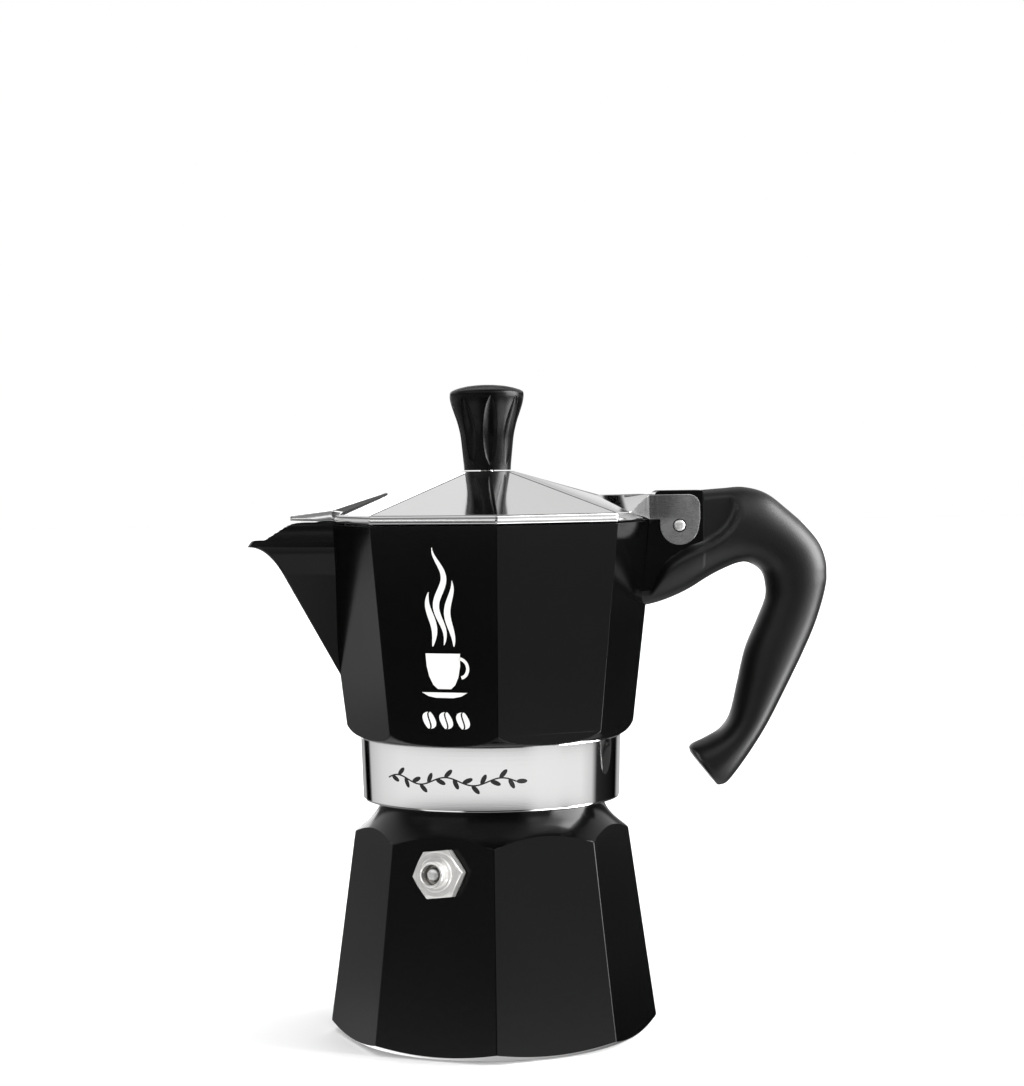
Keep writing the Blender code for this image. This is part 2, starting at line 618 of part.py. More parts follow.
def make_collector(look):
    """Octagonal vessel with collar, spout and lug in one casting."""
    low = BAND_TOP_Z - MM
    body = loft("collector", [octagon(collector_corner(low), low),
                              octagon(COLLECTOR_TOP_R, RIM_Z)], look)
    wide = 1.3 * COLLECTOR_TOP_R
    skirt = skirt_profile()
    envelope = [(0, BAND_TOP_Z)] + skirt + [(wide, RIM_Z), (wide, RIM_Z + MM), (0, RIM_Z + MM)]
    boolean(body, turned("collector_turning", envelope), "INTERSECT")
    band = [(0, BAND_LOW_Z), (BAND_LOW_R, BAND_LOW_Z), (BAND_TOP_R, BAND_TOP_Z),
            (BAND_TOP_R, BAND_TOP_Z + MM), (0, BAND_TOP_Z + MM)]
    spout, channel = make_spout()
    add(body, turned("collar_solid", band), spout, make_lug())

    inner_low = collector_corner(FLOOR_Z) - COLLECTOR_WALL / math.cos(HALF_FACET)
    inner_top = COLLECTOR_TOP_R - COLLECTOR_WALL / math.cos(HALF_FACET)
    rise = (inner_top - inner_low) * MM / (RIM_Z - FLOOR_Z)
    cut(body, loft("collector_inside", [octagon(inner_low, FLOOR_Z),
                                        octagon(inner_top + rise, RIM_Z + MM)]))
    cut(body, channel)
    hole_r = COLUMN_SPIGOT_R + GAP
    dome_z = SEAT_Z + DOME_RISE
    chamber = [(0, BAND_LOW_Z - MM), (COLLAR_BORE_R, BAND_LOW_Z - MM), (COLLAR_BORE_R, SEAT_Z),
               (DOME_R + 3 * MM, SEAT_Z), (DOME_R, dome_z), (hole_r, dome_z),
               (hole_r, FLOOR_Z + MM), (0, FLOOR_Z + MM)]
    cut(body, turned("collar_bore", chamber))
    cut(body, cross_hole("lug_hinge_hole", PIN_X, PIN_Z, PIN_R + GAP, LUG_HALF + MM),
        cross_hole("lug_pin_hole", CORNER_X + HANDLE_PIN_OUT, LUG_LOW_Z + HANDLE_PIN_UP,
                   HANDLE_PIN_R + GAP, LUG_HALF + MM))
    add(body, thread("collar_thread", COLLAR_BORE_R, -1, THREAD_LOW_Z - PITCH / 2,
                     THREAD_TURNS))
    return body


def cross_hole(name, x, z, radius, half):
    """Cutter along Y through a point of the XZ plane."""
    cutter = rod(name, radius, -half, half)
    cutter.matrix_world = Matrix.Translation((x, 0, z)) @ Matrix.Rotation(math.pi / 2, 4, "X")
    return cutter


def lug_outline(grow=0.0):
    """Side view of the lug as (x, z), optionally grown all round."""
    wall = 0.25 * COLLECTOR_WALL
    inner = COLLECTOR_WALL / math.cos(HALF_FACET) - wall
    nose_x = CORNER_X - 0.5 * MM
    root_x = collector_corner(LUG_LOW_Z) - inner
    return [(root_x, LUG_LOW_Z - grow), (nose_x, LUG_LOW_Z + 0.4 * MM - grow),
            (LUG_END_X + grow, LUG_LOW_Z + 5.6 * MM - grow),
            (LUG_END_X + grow, LUG_TOP_Z - 0.4 * MM), (LUG_END_X - 0.4 * MM, LUG_TOP_Z + grow),
            (nose_x + 1.3 * MM, LUG_TOP_Z + grow), (nose_x + 0.4 * MM, LUG_TOP_Z - 0.3 * MM),
            (nose_x, LUG_TOP_Z - MM), (nose_x, RIM_Z), (CORNER_X - inner, RIM_Z - MM)]


def make_lug():
    """Lug that carries the lid's hinge and the handle."""
    return plate_y("lug_solid", lug_outline(), -LUG_HALF, LUG_HALF)


def make_column(aluminium):
    """Riser tube with two outlet slots, seated in the collector's floor."""
    foot_z = FLOOR_Z + GAP
    top_z = foot_z + COLUMN_FOOT + COLUMN_HEIGHT
    roof_z = top_z - 3 * MM
    column = turned("column", [
        (0, roof_z), (COLUMN_BORE_R, roof_z - MM), (COLUMN_BORE_R + MM, SEAT_Z + DOME_RISE),
        (COLUMN_SPIGOT_R, SEAT_Z + DOME_RISE), (COLUMN_SPIGOT_R, foot_z), (COLUMN_FOOT_R, foot_z),
        (COLUMN_FOOT_R, foot_z + COLUMN_FOOT), (COLUMN_LOW_R, foot_z + COLUMN_FOOT),
        (COLUMN_TOP_R, top_z - MM), (COLUMN_TOP_R - MM, top_z), (0, top_z)],
        aluminium, SMALL_ROUND + 4)
    slot = plate_y("column_slots", [
        (-COLUMN_LOW_R, roof_z - MM - COLUMN_SLOT), (COLUMN_LOW_R, roof_z - MM - COLUMN_SLOT),
        (COLUMN_LOW_R, roof_z - MM), (-COLUMN_LOW_R, roof_z - MM)],
        -COLUMN_SLOT / 2, COLUMN_SLOT / 2)
    cut(column, slot)


# ---------------------------------------------------------------- handle
def handle_stations():
    """Outer and inner edge of the handle, paired from its foot up to the lug.

    Each station is (outer x, outer z, inner x, inner z) in millimetres from the top of the
    lug's rear face, and the section's share of the full width.
    """
    return [(3.6, -80.0, -3.6, -70.9, 0.82), (6.0, -79.3, -3.5, -69.0, 0.95),
            (9.0, -75.8, 0.6, -67.0, 1.0), (13.0, -70.2, 4.6, -64.6, 1.0),
            (17.2, -63.6, 7.3, -60.6, 1.0), (22.3, -54.0, 9.3, -52.4, 1.0),
            (27.4, -43.8, 11.5, -43.2, 1.0), (31.0, -35.4, 14.9, -35.2, 1.0),
            (33.5, -26.8, 17.2, -29.3, 1.0), (33.9, -21.0, 17.2, -25.2, 1.0),
            (32.2, -15.2, 16.3, -22.4, 1.0), (28.4, -10.2, 14.2, -20.5, 1.0),
            (23.3, -5.5, 11.5, -19.6, 1.0), (17.6, -1.1, 8.5, -20.2, 1.0),
            (11.5, 0.65, 5.2, -21.6, 1.0), (5.6, 0.4, 2.4, -23.0, 1.0),
            (0.0, 0.0, 0.0, -24.4, 1.0)]


def handle_section(outer, inner, half):
    """Rounded section between two points of the XZ plane."""
    count = 20
    middle = (outer + inner) / 2
    reach = (outer - inner) / 2
    points = []
    for index in range(count):
        angle = math.tau * index / count
        c, s = math.cos(angle), math.sin(angle)
        power = 2 / HANDLE_SQUARENESS
        along_reach = math.copysign(abs(c) ** power, c)
        sideways = math.copysign(abs(s) ** power, s)
        centre = middle + reach * along_reach
        points.append((centre.x, half * sideways, centre.y))
    return points


def make_handle(look):
    """Moulded handle that wraps the lug, relieved at both sides for the lid's ears."""
    rings = []
    for out_x, out_z, in_x, in_z, share in handle_stations():
        outer = Vector((LUG_END_X + out_x * MM, LUG_TOP_Z + out_z * MM))
        inner = Vector((LUG_END_X + in_x * MM, LUG_TOP_Z + in_z * MM))
        rings.append(handle_section(outer, inner, share * HANDLE_HALF))
    front_x = CORNER_X - 4.0 * MM
    front_low = LUG_LOW_Z - ARM_UNDER
    for share in (0.33, 0.66, 1.0):
        x = LUG_END_X + share * (front_x - LUG_END_X)
        low = inner.y + share * (front_low - inner.y)
        rings.append(handle_section(Vector((x, LUG_TOP_Z)), Vector((x, low)), HANDLE_HALF))
    handle = loft("handle", rings, look)

    cut(handle, plate_y("lug_pocket", lug_outline(GAP)[:2] + pocket_top(), -LUG_HALF - GAP,
                        LUG_HALF + GAP))
    side = LUG_HALF
    for name, low, high in (("relief_front", -3 * HANDLE_HALF, -side),
                            ("relief_back", side, 3 * HANDLE_HALF)):
        cut(handle, plate_y(name, relief_outline(), low, high))
    clear = GAP / math.cos(HALF_FACET)
    low, high = COLLECTOR_LOW_Z, RIM_Z + 20 * MM
    cut(handle, loft("handle_end", [octagon(collector_corner(low) + clear, low),
                                    octagon(collector_corner(high) + clear, high)]))
    pin_x, pin_z = CORNER_X + HANDLE_PIN_OUT, LUG_LOW_Z + HANDLE_PIN_UP
    hole = rod("handle_pin_hole", HANDLE_PIN_R + GAP, -2 * HANDLE_HALF, LUG_HALF + 1.5 * MM)
    hole.matrix_world = Matrix.Translation((pin_x, 0, pin_z)) @ Matrix.Rotation(
        math.pi / 2, 4, "X")
    cut(handle, hole)
    return handle


def pocket_top():
    """Rest of the pocket's outline: the lug's rear face and the open space above."""
    far = 2 * MM
    return [(LUG_END_X + GAP, LUG_LOW_Z + 5.6 * MM - GAP), (LUG_END_X + GAP, LUG_TOP_Z + far),
            (CORNER_X - 10 * MM, LUG_TOP_Z + far), (CORNER_X - 10 * MM, LUG_LOW_Z - GAP)]


def relief_outline():
    """Side view of the space that the lid's ears swing through, from the hinge pin."""
    points = [(-9.5, -20.0), (-7.0, -15.2), (-2.6, -10.2), (2.2, -9.6), (6.6, -7.4),
              (10.8, -3.4), (13.8, 0.6), (15.4, 4.6), (15.2, 14.0), (-14.0, 14.0),
              (-14.0, -20.0)]
    return [(PIN_X + x * MM, PIN_Z + z * MM) for x, z in points]


def make_pins(steel):
    """Hinge pin through lug and ears, and the blind cross pin of the handle."""
    turn = Matrix.Rotation(math.pi / 2, 4, "X")
    reach = EAR_OUT + PIN_HEAD
    hinge = turned("hinge_pin", [(0, -reach), (PIN_R - GAP, -reach), (PIN_R, -reach + GAP),
                                 (PIN_R, reach - GAP), (PIN_R - GAP, reach), (0, reach)],
                   steel, SMALL_ROUND)
    hinge.matrix_world = Matrix.Translation((PIN_X, 0, PIN_Z)) @ turn
    cross = rod("handle_pin", HANDLE_PIN_R, -(HANDLE_HALF - 0.5 * MM),
                LUG_HALF + 1.5 * MM - GAP, steel)
    cross.matrix_world = Matrix.Translation((CORNER_X + HANDLE_PIN_OUT, 0,
                                             LUG_LOW_Z + HANDLE_PIN_UP)) @ turn


# ---------------------------------------------------------------- lid
def lid_frustum(name, inset, look=None, drop=0.0):
    """Rim and pyramid of the lid, or its inside when inset."""
    corner = COLLECTOR_TOP_R - inset / math.cos(HALF_FACET)
    low = LID_Z - drop
    rim_top = LID_Z + LID_RIM - 0.6 * inset
    top = LID_TOP_Z - inset
    return loft(name, [octagon(corner, low), octagon(corner, rim_top),
                       octagon(APEX_R, top)], look)


def cover_points(inset):
    """Corners of the cover over the spout."""
    front = -CORNER_X - COVER_FRONT + inset
    side_x = -CORNER_X + COVER_SHOULDER
    half = COVER_HALF - inset
    rim_top = LID_Z + LID_RIM
    low = LID_Z + SPOUT_LIP_RAISE - 2 * inset
    points = [(front, 0, rim_top - 0.2 * MM - inset), (front, 0, low),
              (-COVER_RIDGE_START, 0, LID_TOP_Z - 5.3 * MM - inset)]
    for sign in (-1, 1):
        points += [(front + 0.5 * MM, sign * SPOUT_TIP_HALF * 0.6, rim_top - 0.3 * MM - inset),
                   (front + 0.5 * MM, sign * SPOUT_TIP_HALF * 0.6, low),
                   (side_x, sign * half, rim_top + 1.2 * MM - inset), (side_x, sign * half, low),
                   (-COVER_RIDGE_START, sign * 0.6 * half, low)]
    return points


def tongue_points(inset):
    """Corners of the raised tongue toward the hinge."""
    top = RIM_Z + TONGUE_RISE - inset
    rim_top = LID_Z + LID_RIM - inset
    rear = CORNER_X - 2.2 * MM
    points = []
    for sign in (-1, 1):
        points += [(TONGUE_START, sign * (3.0 * MM - 0.5 * inset), top - 0.1 * MM),
                   (rear, sign * (EAR_OUT - inset), top), (rear, sign * (EAR_OUT - inset), LID_Z),
                   (flare_x() - inset, sign * (TONGUE_FLARE - inset), rim_top),
                   (TONGUE_START, sign * (3.0 * MM - 0.5 * inset), LID_Z)]
    return points


def flare_x():
    """Where the rim's facet is TONGUE_FLARE away from the middle plane."""
    return CORNER_X - TONGUE_FLARE * math.tan(HALF_FACET)


def ear_outline():
    """Side view of an ear as (x, z)."""
    top = RIM_Z + EAR_RISE
    rear = PIN_X + EAR_REAR
    corner = [(rear - EAR_CORNER + EAR_CORNER * math.cos(a),
               top - EAR_CORNER + EAR_CORNER * math.sin(a))
              for a in (math.pi / 2 * k / 4 for k in range(5))]
    lobe = [(PIN_X + EAR_LOBE_R * math.cos(a), PIN_Z + EAR_LOBE_R * math.sin(a))
            for a in (math.radians(-180 + 18 * k) for k in range(9))]
    start = (CORNER_X - 9 * MM, LID_Z)
    step = (PIN_X - EAR_LOBE_R, LID_Z)
    blend = (rear, PIN_Z - 0.3 * EAR_LOBE_R)
    return [(CORNER_X - 9 * MM, top), start, step] + lobe + [blend] + corner


def make_lid(look):
    """Pressed lid: pyramid, spout cover, tongue and two ears."""
    lid = lid_frustum("lid", 0.0, look)
    add(lid, hull("cover_solid", cover_points(0.0)), hull("tongue_solid", tongue_points(0.0)))
    cut(lid, lid_frustum("lid_inside", LID_SHEET, drop=MM),
        hull("cover_inside", cover_points(LID_SHEET)),
        hull("tongue_inside", [(x, y, z if z > LID_Z + MM else LID_Z - MM)
                               for x, y, z in tongue_points(LID_SHEET)]))
    for name, low, high in (("ear_front", -EAR_OUT, -EAR_IN), ("ear_back", EAR_IN, EAR_OUT)):
        add(lid, plate_y(name, ear_outline(), low, high))
    slot = [(CORNER_X - TONGUE_END, LID_Z - MM), (CORNER_X + 20 * MM, LID_Z - MM),
            (CORNER_X + 20 * MM, LUG_TOP_Z + MM), (CORNER_X - TONGUE_END, LUG_TOP_Z + MM)]
    cut(lid, plate_y("lug_slot", slot, -EAR_IN, EAR_IN))
    lip = [(-CORNER_X - SPOUT_REACH, LID_Z - MM), (-CORNER_X + 5 * MM, LID_Z - MM),
           (-CORNER_X + 5 * MM, LID_Z + SPOUT_LIP_RAISE),
           (-CORNER_X - SPOUT_REACH, LID_Z + SPOUT_LIP_RAISE)]
    cut(lid, plate_y("lip_clearance", lip, -COVER_HALF - MM, COVER_HALF + MM))
    cut(lid, cross_hole("ear_holes", PIN_X, PIN_Z, PIN_R + GAP, EAR_OUT + MM),
        rod("screw_hole", SCREW_R + GAP, LID_TOP_Z - 3 * MM, LID_TOP_Z + MM))
    return lid


# ---------------------------------------------------------------- knob
def knob_profile():
    """Side profile of the knob as (radius, height above its foot)."""
    rim_z = KNOB_HEIGHT - KNOB_CROWN
    waist = (KNOB_FOOT_R + 0.55 * MM, 0.28 * rim_z)
    bend = (KNOB_FOOT_R + 1.1 * MM, 0.6 * rim_z)
    flare = [tuple(point) for point in bezier((waist, bend, (KNOB_RIM_R, 0.88 * rim_z)), 4)]
    return ([(KNOB_FOOT_R, 0.0)] + flare
            + [(KNOB_RIM_R, rim_z), (KNOB_RIM_R - 0.3 * MM, rim_z + 0.3 * MM),
               (0.6 * KNOB_RIM_R, KNOB_HEIGHT - 0.5 * MM), (0.25 * KNOB_RIM_R, KNOB_HEIGHT)])


def make_knob(plastic, steel):
    """Fluted knob, its screw and its washer."""
    foot_z = LID_TOP_Z + GAP
    profile = [(0, foot_z)] + [(r, foot_z + z) for r, z in knob_profile()]
    profile.append((0, foot_z + KNOB_HEIGHT))
    knob = turned("knob", profile, plastic, 28)
    for index in range(KNOB_FLUTES):
        cut(knob, flute_cutter(index, foot_z))
    cut(knob, rod("knob_bore", SCREW_R + GAP, foot_z - MM, foot_z + SCREW_IN_KNOB))

    washer_top = LID_TOP_Z - LID_SHEET - GAP
    washer_low = washer_top - WASHER
    turned("knob_washer", [(SCREW_R + GAP, washer_low), (WASHER_R, washer_low),
                           (WASHER_R, washer_top), (SCREW_R + GAP, washer_top)],
           steel, SMALL_ROUND, ring=True)
    head_top = washer_low - GAP
    turned("knob_screw", [(0, head_top - SCREW_HEAD), (SCREW_HEAD_R, head_top - SCREW_HEAD),
                          (SCREW_HEAD_R, head_top), (SCREW_R, head_top),
                          (SCREW_R, foot_z + SCREW_IN_KNOB - GAP),
                          (0, foot_z + SCREW_IN_KNOB - GAP)], steel, SMALL_ROUND)


def flute_cutter(index, foot_z):
    """Slim pointed lens that scoops one flute, the first one near -Y."""
    angle = -math.pi / 2 + FLUTE_TURN + math.tau * index / KNOB_FLUTES
    bm = bmesh.new()
    bmesh.ops.create_uvsphere(bm, u_segments=10, v_segments=8, radius=1.0)
    height = 0.44 * KNOB_HEIGHT
    lean = math.atan2(KNOB_RIM_R - KNOB_FOOT_R, KNOB_HEIGHT)
    reach = 3.0 * MM
    centre_r = KNOB_FOOT_R + 1.2 * MM + reach - FLUTE_DEPTH
    place = (Matrix.Rotation(angle, 4, "Z") @ Matrix.Translation((centre_r, 0, foot_z + height))
             @ Matrix.Rotation(lean, 4, "Y") @ Matrix.Diagonal((reach, 3.3 * MM, height, 1)))
    bmesh.ops.transform(bm, matrix=place, verts=bm.verts)
    return finish(f"flute_{index}", bm)


# ---------------------------------------------------------------- whole pot
def main():
    """Build every piece of the pot."""
    clear_scene()
    black = material("black_enamel", (0.012, 0.012, 0.013), 0.0, 0.28)
    aluminium = material("aluminium", (0.72, 0.72, 0.72), 1.0, 0.3)
    polished = material("polished_lid", (0.82, 0.82, 0.82), 1.0, 0.12)
    plastic = material("black_plastic", (0.015, 0.015, 0.016), 0.0, 0.42)
    nickel = material("nickel", (0.62, 0.6, 0.56), 1.0, 0.22)
    brass = material("brass", (0.7, 0.6, 0.4), 1.0, 0.3)
    steel = material("steel", (0.6, 0.6, 0.6), 1.0, 0.25)
    rubber = material("rubber", (0.75, 0.73, 0.68), 0.0, 0.7)
    make_boiler(black)
    make_valve(nickel, brass, steel, rubber)
    make_funnel(aluminium)
    make_seal(rubber, aluminium)
    make_collector(black)
    make_column(aluminium)
    make_handle(plastic)
    make_pins(steel)
    make_lid(polished)
    make_knob(plastic, steel)


main()
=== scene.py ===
"""Finished look of an octagonal stovetop moka pot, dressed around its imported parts.

Metres, +Z up. The pot stands on Z = 0, its handle points along +X and its spout along -X.
The corners of its octagon lie on the X and Y axes.
"""
import logging
import math
from collections.abc import Callable, Iterable, Sequence
from dataclasses import dataclass
from enum import Enum

import bmesh
import bpy
from bpy.types import Material, Object
from mathutils import Matrix, Vector


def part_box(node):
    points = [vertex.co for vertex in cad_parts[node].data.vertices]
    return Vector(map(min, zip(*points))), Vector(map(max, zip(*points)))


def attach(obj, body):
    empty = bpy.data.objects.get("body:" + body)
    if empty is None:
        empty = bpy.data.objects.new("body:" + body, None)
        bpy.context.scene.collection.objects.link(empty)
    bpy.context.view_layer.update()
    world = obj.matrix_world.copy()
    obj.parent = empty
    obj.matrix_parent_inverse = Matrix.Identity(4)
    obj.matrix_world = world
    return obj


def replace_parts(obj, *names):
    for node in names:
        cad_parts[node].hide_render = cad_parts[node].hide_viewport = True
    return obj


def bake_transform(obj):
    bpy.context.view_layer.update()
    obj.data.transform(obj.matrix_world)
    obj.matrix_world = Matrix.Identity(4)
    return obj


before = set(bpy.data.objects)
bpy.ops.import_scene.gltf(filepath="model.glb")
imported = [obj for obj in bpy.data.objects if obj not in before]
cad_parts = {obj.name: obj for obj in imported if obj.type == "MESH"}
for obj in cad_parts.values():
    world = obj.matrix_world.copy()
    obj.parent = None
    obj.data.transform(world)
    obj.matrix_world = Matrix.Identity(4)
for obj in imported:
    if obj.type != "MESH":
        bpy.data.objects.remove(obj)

log = logging.getLogger("moka_pot")

MM = 0.001
FACETS = 8
HALF_FACET = math.pi / FACETS
FINE = 160                # steps of a large turned piece, a multiple of the facets
SMALL = 40                # steps of a pin, screw or nut
EDGE = 0.22 * MM          # rounding of a cast or folded edge
THREAD_PITCH = 3.0 * MM
THREAD_TURNS = 2.4

Point2 = tuple[float, float]
Point3 = tuple[float, float, float]
Plane = tuple[Vector, Vector]


# ---------------------------------------------------------------- shader maths
class Socket:
    """A shader value that takes part in ordinary arithmetic."""

    def __init__(self, graph: "Graph", link: bpy.types.NodeSocket) -> None:
        """Keep the graph and the output socket that carries the value."""
        self.graph = graph
        self.link = link

    def math(self, operation: str, *others: "Socket | float") -> "Socket":
        """Return a Math node of this value and the others."""
        values = dict(enumerate((self, *others)))
        return self.graph.node("ShaderNodeMath", {"operation": operation}, values)

    def _flipped(self, operation: str, other: float) -> "Socket":
        """Return a Math node whose first value is a plain number."""
        return self.graph.node("ShaderNodeMath", {"operation": operation}, {0: other, 1: self})

    def __add__(self, other: "Socket | float") -> "Socket":
        """Return self + other."""
        return self.math("ADD", other)

    def __radd__(self, other: float) -> "Socket":
        """Return other + self."""
        return self.math("ADD", other)

    def __sub__(self, other: "Socket | float") -> "Socket":
        """Return self - other."""
        return self.math("SUBTRACT", other)

    def __rsub__(self, other: float) -> "Socket":
        """Return other - self."""
        return self._flipped("SUBTRACT", other)

    def __mul__(self, other: "Socket | float") -> "Socket":
        """Return self * other."""
        return self.math("MULTIPLY", other)

    def __rmul__(self, other: float) -> "Socket":
        """Return other * self."""
        return self.math("MULTIPLY", other)

    def __truediv__(self, other: "Socket | float") -> "Socket":
        """Return self / other."""
        return self.math("DIVIDE", other)

    def __pow__(self, other: float) -> "Socket":
        """Return self ** other."""
        return self.math("POWER", other)

    def ramp(self, low: float, high: float) -> "Socket":
        """Return a smooth 0 to 1 as the value goes from low to high."""
        return self.graph.node("ShaderNodeMapRange", {"interpolation_type": "SMOOTHSTEP"},
                               {"Value": self, "From Min": low, "From Max": high})


class Graph:
    """Node tree of one finish, on Object coordinates."""

    def __init__(self, tree: bpy.types.NodeTree) -> None:
        """Start from an empty tree."""
        self.tree = tree
        tree.nodes.clear()

    def node(self, kind: str, settings: dict | None = None, sockets: dict | None = None,
             output: int | str = 0) -> Socket:
        """Add a node.

        Args:
            kind: The node's type.
            settings: Its properties, set first; stops fills a colour ramp.
            sockets: Values or links of its inputs, by name or number.
            output: The output that is returned.

        Returns:
            The chosen output as a Socket.
        """
        made = self.tree.nodes.new(kind)
        for key, value in (settings or {}).items():
            if key == "stops":
                self._fill(made.color_ramp, value)
            else:
                setattr(made, key, value)
        for key, value in (sockets or {}).items():
            if isinstance(value, Socket):
                self.tree.links.new(value.link, made.inputs[key])
            else:
                made.inputs[key].default_value = value
        return Socket(self, made.outputs[output])

    @staticmethod
    def _fill(ramp: bpy.types.ColorRamp, stops: Sequence[tuple[float, tuple]]) -> None:
        """Give a colour ramp its stops."""
        while len(ramp.elements) < len(stops):
            ramp.elements.new(0.5)
        for element, (place, colour) in zip(ramp.elements, stops):
            element.position = place
            element.color = colour

    def place(self, centre: Point3 = (0, 0, 0), stretch: Point3 = (1, 1, 1),
              turn: Point3 = (0, 0, 0)) -> Socket:
        """Return Object coordinates moved to a centre, then turned and stretched."""
        moved = self.node("ShaderNodeVectorMath", {"operation": "SUBTRACT"},
                          {0: self.node("ShaderNodeTexCoord", output="Object"), 1: centre})
        return self.node("ShaderNodeMapping", {}, {"Vector": moved, "Rotation": turn,
                                                   "Scale": stretch})

    def axes(self, vector: Socket) -> tuple[Socket, Socket, Socket]:
        """Return the three parts of a vector."""
        split = self.node("ShaderNodeSeparateXYZ", {}, {0: vector})
        return tuple(Socket(self, out) for out in split.link.node.outputs)

    def noise(self, at: Socket, scale: float, detail: float = 2.0,
              roughness: float = 0.5) -> Socket:
        """Return a 0 to 1 noise whose grains are about 1/scale metres wide."""
        return self.node("ShaderNodeTexNoise", {}, {"Vector": at, "Scale": scale,
                                                    "Detail": detail, "Roughness": roughness})

    def mix(self, share: Socket | float, first: tuple | Socket, second: tuple | Socket) -> Socket:
        """Return a colour between two colours."""
        return self.node("ShaderNodeMix", {"data_type": "RGBA"},
                         {0: share, 6: first, 7: second}, output=2)

    def bump(self, height: Socket, depth: float, strength: float = 1.0) -> Socket:
        """Return a normal raised by height times depth in metres."""
        return self.node("ShaderNodeBump", {}, {"Height": height, "Distance": depth,
                                                "Strength": strength})

    def surface(self, sockets: dict) -> None:
        """End the tree in a Principled shader with these inputs."""
        self.end(self.node("ShaderNodeBsdfPrincipled", {}, sockets))

    def end(self, shader: Socket) -> None:
        """Link a shader to the material's output."""
        out = self.tree.nodes.new("ShaderNodeOutputMaterial")
        self.tree.links.new(shader.link, out.inputs["Surface"])


def new_graph(name: str) -> tuple[Material, Graph]:
    """Return a new material and its empty graph."""
    made = bpy.data.materials.new(name)
    made.use_nodes = True
    return made, Graph(made.node_tree)


def grey(value: float, warm: float = 0.0) -> tuple[float, float, float, float]:
    """Return a grey colour, a little warmer or cooler."""
    return (value * (1 + warm), value, value * (1 - warm), 1.0)


# ---------------------------------------------------------------- finishes
@dataclass(frozen=True)
class BlackCoat:
    """Glossy black coating sprayed on cast aluminium."""

    dark: float = 0.0009
    light: float = 0.0016
    roughness: float = 0.11
    ior: float = 1.3
    peel_scale: float = 520.0
    peel_depth: float = 0.012 * MM
    haze_scale: float = 38.0
    haze_dulls: float = 0.03
    grain_scale: float = 4200.0
    grain_dulls: float = 0.02
    grain_height: float = 0.16

    def make(self, name: str) -> Material:
        """Return the coating with its soft orange peel and fine dust grain."""
        made, g = new_graph(name)
        at = g.place()
        peel = g.noise(at, self.peel_scale, 3.0)
        haze = g.noise(at, self.haze_scale, 3.0)
        grain = g.noise(at, self.grain_scale, 1.0)
        height = peel + self.grain_height * grain
        g.surface({
            "Base Color": g.mix(haze, grey(self.dark), grey(self.light, -0.03)),
            "Roughness": self.roughness + self.haze_dulls * haze + self.grain_dulls * grain,
            "IOR": self.ior,
            "Normal": g.bump(height, self.peel_depth, 0.55)})
        return made


@dataclass(frozen=True)
class TurnedMetal:
    """Aluminium with the fine rings that a lathe or a polishing wheel leaves."""

    colour: float = 0.82
    roughness: float = 0.16
    rings: float = 2600.0
    depth: float = 0.004 * MM
    strength: float = 0.35
    spread: float = 0.05
    broad: float = 0.16
    broad_height: float = 0.6
    cloud_scale: float = 45.0
    cloud_darkens: float = 0.93
    cast: float = 0.0
    cast_scale: float = 900.0

    def make(self, name: str) -> Material:
        """Return the metal, ringed about the pot's axis, with a cast skin where it has one."""
        made, g = new_graph(name)
        at = g.place()
        x, y, z = g.axes(at)
        radius = (x * x + y * y) ** 0.5
        track = g.node("ShaderNodeCombineXYZ", {}, {"X": radius, "Y": z})
        rings = g.noise(track, self.rings, 2.0, 0.7)
        broad = g.noise(track, self.broad * self.rings, 2.0)
        cloud = g.noise(at, self.cloud_scale, 4.0, 0.6)
        height = rings + self.broad_height * broad
        if self.cast:
            height = height + self.cast * g.noise(at, self.cast_scale, 4.0, 0.65)
        g.surface({
            "Base Color": g.mix(cloud, grey(self.colour * self.cloud_darkens),
                                grey(self.colour, 0.004)),
            "Metallic": 1.0,
            "Roughness": self.roughness + self.spread * (cloud + rings),
            "Normal": g.bump(height, self.depth, self.strength)})
        return made


@dataclass(frozen=True)
class BrushedSheet:
    """Sheet aluminium brushed along X, as on the lid's ears, its colour darker in upright streaks at their
    front.
    """

    colour: float = 0.92
    dark: float = 0.16
    roughness: float = 0.2
    stroke_scale: float = 3200.0
    cross_scale: float = 2400.0
    cloud_scale: float = 260.0
    upright_scale: float = 1500.0
    depth: float = 0.006 * MM
    front_dark_x: float = 45.2 * MM
    front_dark_z: float = 137.7 * MM
    front_dark_run: float = 9.0 * MM
    front_dark_depth: float = 0.75

    def make(self, name: str) -> Material:
        """Return the metal with crossed fine scratches, its colour darker toward the front of the ears."""
        made, g = new_graph(name)
        strokes = g.noise(g.place(stretch=(0.08, 1.0, 1.0)), self.stroke_scale, 3.0, 0.7)
        cross = g.noise(g.place(stretch=(1.0, 1.0, 0.1), turn=(0, 0.4, 0)),
                        self.cross_scale, 2.0)
        cloud = g.noise(g.place(), self.cloud_scale, 4.0, 0.6)
        upright = g.noise(g.place(stretch=(1.0, 1.0, 0.06)), self.upright_scale, 3.0, 0.7)
        # The base colour darkens in upright streaks from the ears' front edge rearward, above the crease; the
        # roughness stays as it is.
        x, _, z = g.axes(g.place((self.front_dark_x, 0, self.front_dark_z)))
        front_darkening = (1 - x.ramp(0.0, self.front_dark_run)) * z.ramp(-2 * MM, MM) * (0.6 + 0.8 * upright)
        tone = (0.55 + 0.45 * cloud) * (1 - self.front_dark_depth * front_darkening)
        g.surface({
            "Base Color": g.mix(tone, grey(self.dark), grey(self.colour)),
            "Metallic": 1.0,
            "Roughness": self.roughness + 0.1 * strokes + 0.06 * cloud,
            "Normal": g.bump(strokes + 0.5 * cross, self.depth, 0.5)})
        return made


